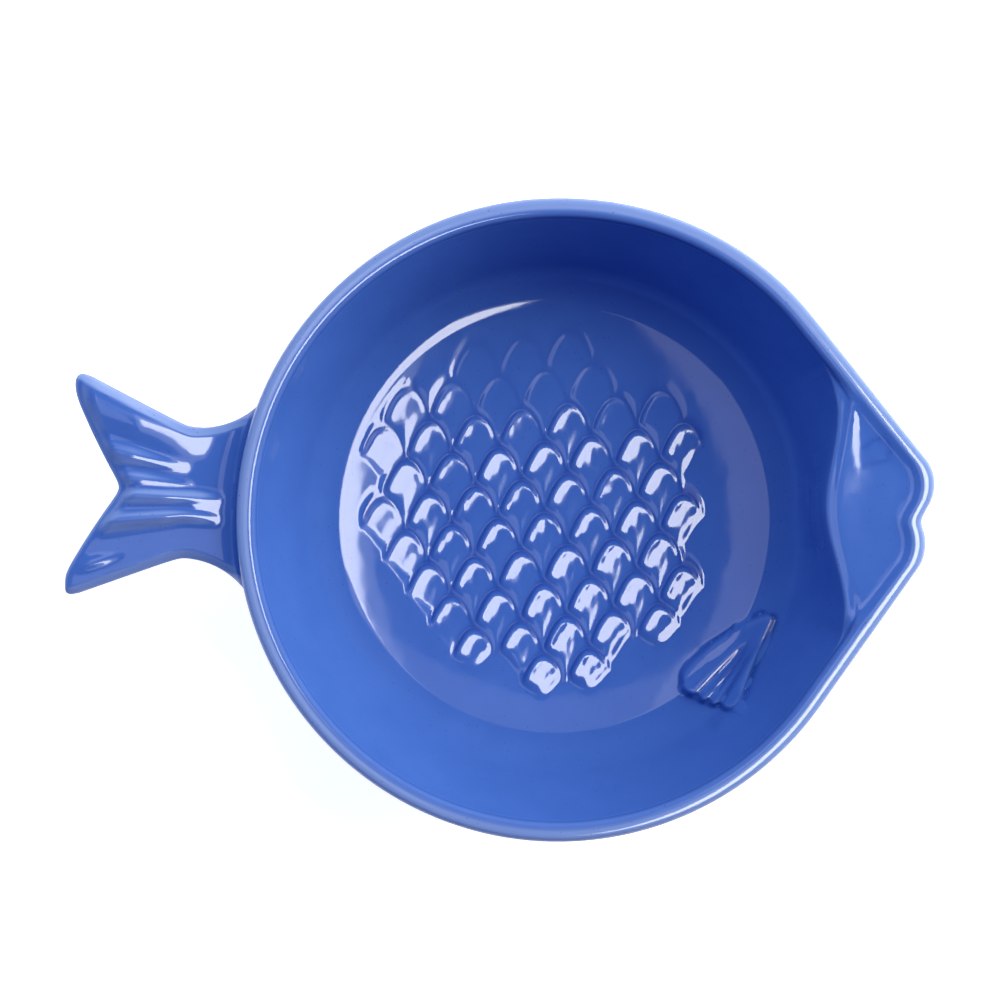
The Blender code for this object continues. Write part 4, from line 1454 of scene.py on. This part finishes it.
@dataclass
class GlazeCoat:
    """The coat of blue glass over the whole bowl, down to the wiped foot."""

    axis: Vector
    box: list[list[float]]
    finish: BlueGlaze
    section: BowlSection = field(default_factory=BowlSection)
    scales: ScaleBed = field(default_factory=ScaleBed)
    fin: Fin = field(default_factory=Fin)
    eye: Eye = field(default_factory=Eye)
    brow: BrowRidge = field(default_factory=BrowRidge)
    tail: Tail = field(default_factory=Tail)
    thickness: float = 0.5 * MM
    box_margin: float = 0.01 * MM
    box_ease: float = 0.3 * MM
    columns: int = 560
    seam: float = 90.0
    sweep_points: int = 7201
    mouth_crowding: float = 1.6
    mouth_width: float = 9.0
    root_crowding: float = 0.9
    root_reach: float = 21.0
    root_fade: float = 4.0
    fin_crowding: float = 1.2
    fin_bearing: float = -37.0
    fin_reach: float = 19.0
    fin_fade: float = 6.0
    wall_top: float = 40.0 * MM
    wall_radius: float = 80.0 * MM
    floor_slack: float = 1.0 * MM
    edge_gap: float = 2.0 * MM
    wall_slack: float = 3.0 * MM
    ledge_slack: float = 2.0 * MM
    bend_passes: int = 3
    bend_keep: float = 0.4
    full_bend: float = 220.0
    thin_share: float = 0.22
    pool_share: float = 0.6
    # The next seven fields set a lighter band on the rim and the outer bevels: partly glaze thinning
    # over the rim, partly a painted reflection of the pale surroundings.
    rim_sheen_fall: float = 4.5 * MM
    rim_sheen_fade: float = 3.5 * MM
    plate_sheen_slope: float = 0.5
    rim_thin_sheen_band: float = 1.2 * MM
    sheen_level_normal: float = 0.99
    sheen_turn: float = 0.10
    border_thin_and_sheen: float = 0.75
    name: str = "glaze_coat_fine"

    def column_angles(self) -> np.ndarray:
        """Angles of the columns, closer together at the mouth, the tail's root and the fin.

        Returns:
            Angles in degrees, in order.
        """
        sweep = np.linspace(-180.0, 180.0, self.sweep_points) + self.seam
        mouth = self.mouth_crowding * np.exp(-((wrap(sweep) / self.mouth_width) ** 2))
        off_root = np.abs(wrap(sweep - self.tail.angle))
        root = self.root_crowding * smooth_step((self.root_reach - off_root) / self.root_fade)
        off_fin = np.abs(wrap(sweep - self.fin_bearing))
        fin = self.fin_crowding * smooth_step((self.fin_reach - off_fin) / self.fin_fade)
        total = np.concatenate(([0.0], np.cumsum((1.0 + mouth + root + fin)[:-1])))
        return np.interp(np.arange(self.columns) * total[-1] / self.columns, total, sweep)

    def skin(self, face: CoatFace) -> Skin:
        """Builds one face of the coat as an open skin.

        Args:
            face: Which face, and so how fine.

        Returns:
            The skin, open at the glaze line.
        """
        detail = face.value
        mesh = bmesh.new()
        ragged = self.scales.add_to(mesh, self.section, self.fin, detail)
        degrees = self.column_angles()
        rows = self.section.rows(degrees, detail)
        count = rows.shape[1]
        made = bmesh.ops.create_grid(mesh, x_segments=self.columns, y_segments=count - 1, size=1.0)
        verts = made["verts"]
        spread = coordinates(verts)[:, :2] / 2.0 + 0.5
        across = np.rint(spread[:, 0] * self.columns).astype(int)
        along = np.rint(spread[:, 1] * (count - 1)).astype(int)
        spots = polar(rows[across % self.columns, along, 0], degrees[across % self.columns])
        move_to(verts, np.column_stack((spots, rows[across % self.columns, along, 1])))
        grid = [[None] * (self.columns + 1) for _ in range(count)]
        for vertex, column, row in zip(verts, across, along):
            grid[row][column] = vertex
        seam = {line[self.columns]: line[0] for line in grid}
        bmesh.ops.weld_verts(mesh, targetmap=seam)
        grid = [line[: self.columns] for line in grid]
        gap = ragged + loop_edges(grid[0])
        bmesh.ops.triangle_fill(mesh, use_beauty=True, edges=gap, normal=(0.0, 0.0, 1.0))
        self.emboss(mesh)
        beside = int(np.argmin(np.abs(wrap(degrees - self.tail.angle))))
        crest = int(np.argmax(rows[beside, :, 1]))
        self.tail.grow(mesh, grid, degrees, rows[beside, :, 1], crest + 1, detail)
        bmesh.ops.recalc_face_normals(mesh, faces=mesh.faces)
        middle = min(mesh.faces, key=lambda face: face.calc_center_median().xy.length)
        if middle.normal.z < 0.0:
            bmesh.ops.reverse_faces(mesh, faces=mesh.faces)
        mesh.normal_update()
        return mesh

    def emboss(self, mesh: Skin) -> None:
        """Raises the fin, the eye and the brow's ridge, and lets glaze pool round them.

        Args:
            mesh: Skin to raise them from.
        """
        verts = list(mesh.verts)
        places = coordinates(verts)
        spots = places[:, :2]
        radius = np.hypot(spots[:, 0], spots[:, 1])
        outline = self.section.outline
        floor = (places[:, 2] < self.wall_top) & (radius < self.wall_radius)
        floor &= places[:, 2] > self.section.floor_height - self.floor_slack
        degrees = np.degrees(np.arctan2(spots[:, 1], spots[:, 0]))
        floor &= radius < outline.hollow_edge(degrees) - self.edge_gap
        section = self.section.rows(np.array([self.fin.tip_angle]), CoatFace.OUTER.value)[0]
        crest = int(np.argmax(section[:, 1]))
        wall = np.interp(radius, section[:crest, 0], section[:crest, 1])
        floor &= np.abs(places[:, 2] - wall) < self.wall_slack
        places[floor, 2] += self.fin.relief(spots[floor])
        layer = mesh.verts.layers.float[self.scales.pool_layer]
        for number, share in zip(np.nonzero(floor)[0], self.fin.pooled(spots[floor]).tolist()):
            verts[number][layer] = max(verts[number][layer], share)
        top = places[:, 2] > self.section.ledge_height - self.ledge_slack
        for number, share in zip(np.nonzero(top)[0], self.eye.pooled(spots[top], outline).tolist()):
            verts[number][layer] = share
        places[top, 2] += self.eye.relief(spots[top], outline)
        places[top, 2] += self.brow.relief(spots[top], outline)
        move_to(verts, places)

    def depth(self, mesh: bpy.types.Mesh) -> np.ndarray:
        """How far the glaze pools, above 0 in hollows, or thins, below 0 on edges; also below 0 on the
        rim and on upward-sloping faces outside it, where the lighter colour is partly glaze thinning
        over the rim and partly a painted reflection of the pale surroundings.

        Args:
            mesh: Finished mesh of the coat.

        Returns:
            Depth at each vertex.
        """
        count = len(mesh.vertices)
        places = np.empty(count * 3)
        mesh.vertices.foreach_get("co", places)
        normals = np.empty(count * 3)
        mesh.vertices.foreach_get("normal", normals)
        ends = np.empty(len(mesh.edges) * 2, dtype=np.int64)
        mesh.edges.foreach_get("vertices", ends)
        places, normals = places.reshape(-1, 3), normals.reshape(-1, 3)
        first, second = ends.reshape(-1, 2).T
        starts = np.concatenate((first, second))
        stops = np.concatenate((second, first))
        away = places[stops] - places[starts]
        length = np.maximum(np.linalg.norm(away, axis=1), 1e-6)
        bend = np.einsum("ij,ij->i", away, normals[starts]) / length**2
        links = np.maximum(np.bincount(starts, minlength=count), 1)
        value = np.bincount(starts, weights=bend, minlength=count) / links
        for _ in range(self.bend_passes):
            around = np.bincount(starts, weights=value[stops], minlength=count) / links
            value = self.bend_keep * value + (1.0 - self.bend_keep) * around
        value = np.clip(value / self.full_bend, -1.0, 1.0)
        value = np.where(value < 0.0, value * self.thin_share, value * self.pool_share)
        spots = places[:, :2] - np.array(self.axis.xy)
        degrees = np.degrees(np.arctan2(spots[:, 1], spots[:, 0]))
        crest = self.section.outline.rim(degrees) - self.section.outline.rim_thickness / 2.0
        radius = np.hypot(spots[:, 0], spots[:, 1])
        # Lighter band on the rim's outside and on upward-sloping outer faces such as the tail's bevels:
        # partly glaze thinning over the rim, partly a painted reflection of the pale surroundings.
        outside = radius > crest - self.rim_thin_sheen_band
        sheen_slope_mask = smooth_step((self.sheen_level_normal - normals[:, 2]) / self.sheen_turn)
        on_rim_sheen = radius < self.section.outline.rim(degrees) + self.rim_thin_sheen_band
        rim = np.maximum(sheen_slope_mask, smooth_step((radius - crest) / self.rim_thin_sheen_band + 1.0))
        rim = rim * smooth_step((places[:, 2] - self.section.height + self.rim_sheen_fall) / self.rim_sheen_fade)
        plate = sheen_slope_mask * smooth_step(normals[:, 2] / self.plate_sheen_slope)
        return value - self.border_thin_and_sheen * np.where(outside, np.where(on_rim_sheen, rim, plate), 0.0)

    def build(self) -> bpy.types.Object:
        """Builds the coat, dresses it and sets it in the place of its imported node.

        Returns:
            The coat.
        """
        outer = self.skin(CoatFace.OUTER)
        skin_count = len(outer.verts)
        inner = self.skin(CoatFace.INNER)
        shifts = [(vertex, vertex.normal.copy()) for vertex in inner.verts]
        for vertex, normal in shifts:
            vertex.co -= normal * self.thickness
        bmesh.ops.reverse_faces(inner, faces=inner.faces)
        spare = bpy.data.meshes.new("inner_face")
        inner.to_mesh(spare)
        inner.free()
        outer.from_mesh(spare)
        bpy.data.meshes.remove(spare)
        borders = [edge for edge in outer.edges if edge.is_boundary]
        LOG.info("%s: %d border edges to join", self.name, len(borders))
        bmesh.ops.bridge_loops(outer, edges=borders)
        bmesh.ops.recalc_face_normals(outer, faces=outer.faces)
        bmesh.ops.translate(outer, verts=outer.verts, vec=self.axis)
        verts = list(outer.verts)
        low, high = np.array(self.box)
        places = coordinates(verts)
        places[:, 0] = ease_above(places[:, 0], low[0] + self.box_margin, self.box_ease)
        move_to(verts, np.clip(places, low, high - self.box_margin))
        data = bpy.data.meshes.new(self.name)
        outer.to_mesh(data)
        outer.free()
        data.shade_smooth()
        depth = self.depth(data)
        pooled = np.empty(len(depth), dtype=np.float32)
        data.attributes[self.scales.pool_layer].data.foreach_get("value", pooled)
        data.attributes.remove(data.attributes[self.scales.pool_layer])
        depth = np.clip(depth + pooled, -1.0, 1.0)
        depth[skin_count:] = 0.0
        # The stored depth also carries the painted reflection on the rim and the outer bevels.
        stored = data.attributes.new(self.finish.attribute, "FLOAT", "POINT")
        stored.data.foreach_set("value", depth.astype(np.float32))
        data.materials.append(self.finish.material())
        piece = bpy.data.objects.new(self.name, data)
        bpy.context.scene.collection.objects.link(piece)
        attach(piece, "root")
        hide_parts("glaze_coat")
        return piece


@dataclass
class PackedPiece:
    """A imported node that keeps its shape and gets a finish."""

    node: bpy.types.Object
    finish: BlueGlaze | BareClay

    def dress(self) -> bpy.types.Object:
        """Gives the node its finish.

        Returns:
            The node's object.
        """
        self.node.data.materials.clear()
        self.node.data.materials.append(self.finish.material())
        return self.node


COOL: Colour = (0.86, 0.86, 1.0)
WARM: Colour = (1.0, 0.95, 0.84)
SKY: Colour = (0.50, 0.75, 1.0)


class LampRole(Enum):
    """What a lamp is for: lighting the colour, or showing in the gloss."""

    FILL = "fill"
    GLOSS = "gloss"


@dataclass(frozen=True)
class Softbox:
    """A rectangular lamp that faces the bowl.

    Args:
        name: Name of the lamp.
        bearing: Direction in plan, in degrees from +X.
        lean: Angle from the vertical, in degrees.
        distance: Distance from the bowl.
        size: Width and height of the lamp.
        radiance: Brightness of its face.
        role: Whether it lights the colour or shows in the gloss.
        colour: Colour of its light.
        turn: Turn about its own axis, in degrees.
    """

    name: str
    bearing: float
    lean: float
    distance: float
    size: Pair
    radiance: float
    role: LampRole
    colour: Colour = (1.0, 1.0, 1.0)
    turn: float = 0.0

    def build(self) -> bpy.types.Object:
        """Makes the lamp.

        Returns:
            The lamp.
        """
        data = bpy.data.lights.new(self.name, "AREA")
        data.shape = "RECTANGLE"
        data.size, data.size_y = self.size
        data.energy = self.radiance * math.pi * self.size[0] * self.size[1]
        data.color = self.colour
        lamp = bpy.data.objects.new(self.name, data)
        lean, bearing = math.radians(self.lean), math.radians(self.bearing)
        across = math.sin(lean)
        way = Vector((across * math.cos(bearing), across * math.sin(bearing), math.cos(lean)))
        lamp.location = way * self.distance
        lamp.rotation_mode = "QUATERNION"
        turned = Quaternion((0.0, 0.0, 1.0), math.radians(self.turn))
        lamp.rotation_quaternion = way.to_track_quat("Z", "Y") @ turned
        lamp.visible_camera = False
        lamp.visible_diffuse = self.role is LampRole.FILL
        lamp.visible_glossy = self.role is LampRole.GLOSS
        bpy.context.scene.collection.objects.link(lamp)
        return lamp


@dataclass
class Studio:
    """The floor, the even light, the lamps and the camera."""

    axis: Vector
    view_offset: Pair = (-16.28 * MM, 5.6 * MM)
    view_width: float = 280.4 * MM
    view_height: float = 50.0 * MM
    camera_distance: float = 1.2
    sensor: float = 36.0
    floor_gap: float = 0.1 * MM
    floor_size: float = 30.0
    floor_cells: int = 8
    backdrop_height: float = 5.0
    world_colour: Colour = (0.14, 0.26, 1.0)
    world_strength: float = 0.25
    lamps: tuple[Softbox, ...] = (
        Softbox("near_softbox", -36.0, 14.7, 1.8, (0.86, 0.36), 10.5, LampRole.GLOSS, turn=22.0),
        Softbox("near_halo", -34.0, 14.2, 3.0, (1.90, 0.70), 1.4, LampRole.GLOSS, turn=22.0),
        Softbox("left_panel", 180.0, 6.4, 1.1, (0.42, 0.18), 1.2, LampRole.GLOSS, COOL),
        Softbox("top_panel", 90.0, 7.5, 1.1, (0.40, 0.16), 0.8, LampRole.GLOSS, COOL),
        Softbox("back_softbox", 60.0, 45.0, 1.6, (2.2, 1.5), 3.05, LampRole.FILL, WARM),
        Softbox("right_softbox", 12.0, 66.0, 1.4, (0.9, 0.9), 7.1, LampRole.FILL, WARM),
        Softbox("left_softbox", 165.0, 60.0, 1.4, (0.9, 0.9), 2.2, LampRole.FILL, SKY),
    )

    def floor(self) -> bpy.types.Object:
        """Makes the floor, with a low backdrop round its border.

        Returns:
            The floor.
        """
        mesh = bmesh.new()
        cells = self.floor_cells
        bmesh.ops.create_grid(mesh, x_segments=cells, y_segments=cells, size=self.floor_size)
        border = [edge for edge in mesh.edges if edge.is_boundary]
        made = bmesh.ops.extrude_edge_only(mesh, edges=border)
        raised = [item for item in made["geom"] if isinstance(item, Vert)]
        bmesh.ops.translate(mesh, verts=raised, vec=(0.0, 0.0, self.backdrop_height))
        bmesh.ops.translate(mesh, verts=mesh.verts, vec=(0.0, 0.0, -self.floor_gap))
        data = bpy.data.meshes.new("studio_floor")
        mesh.to_mesh(data)
        mesh.free()
        data.materials.append(PaleFloor().material())
        piece = bpy.data.objects.new("studio_floor", data)
        bpy.context.scene.collection.objects.link(piece)
        piece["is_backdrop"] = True
        return piece

    def world(self) -> None:
        """Sets the even light from all round."""
        made = bpy.data.worlds.new("studio_world")
        made.use_nodes = True
        back = made.node_tree.nodes["Background"]
        back.inputs["Color"].default_value = (*self.world_colour, 1.0)
        back.inputs["Strength"].default_value = self.world_strength
        bpy.context.scene.world = made

    def camera(self) -> bpy.types.Object:
        """Makes the camera, straight above the bowl.

        Returns:
            The camera.
        """
        data = bpy.data.cameras.new("camera")
        data.sensor_width = self.sensor
        data.lens = self.sensor * self.camera_distance / self.view_width
        made = bpy.data.objects.new("camera", data)
        made.location = self.axis + Vector((*self.view_offset, self.view_height + self.camera_distance))
        bpy.context.scene.collection.objects.link(made)
        bpy.context.scene.camera = made
        return made

    def build(self) -> None:
        """Builds the whole studio."""
        self.floor()
        self.world()
        for lamp in self.lamps:
            lamp.build()
        self.camera()
        bpy.context.scene.view_settings.view_transform = "Standard"


def main() -> None:
    """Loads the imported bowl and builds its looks."""
    logging.basicConfig(level=logging.INFO, format="%(name)s: %(message)s")
    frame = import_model()
    packed = [list(side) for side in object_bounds()]
    low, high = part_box("recess_glaze")
    axis = Vector(((low.x + high.x) / 2.0, (packed[0][1] + packed[1][1]) / 2.0, 0.0))
    glaze = BlueGlaze()
    coat = GlazeCoat(axis, packed, glaze).build()
    LOG.info("%s: %d faces", coat.name, len(coat.data.polygons))
    pieces = (
        PackedPiece(frame["nodes"]["clay_body"], BareClay()),
        PackedPiece(frame["nodes"]["recess_glaze"], BlueGlaze(name="recess_glaze_gloss")),
    )
    for piece in pieces:
        LOG.info("%s: %s", piece.dress().name, piece.finish.name)
    Studio(axis).build()


if __name__ == "__main__":
    main()
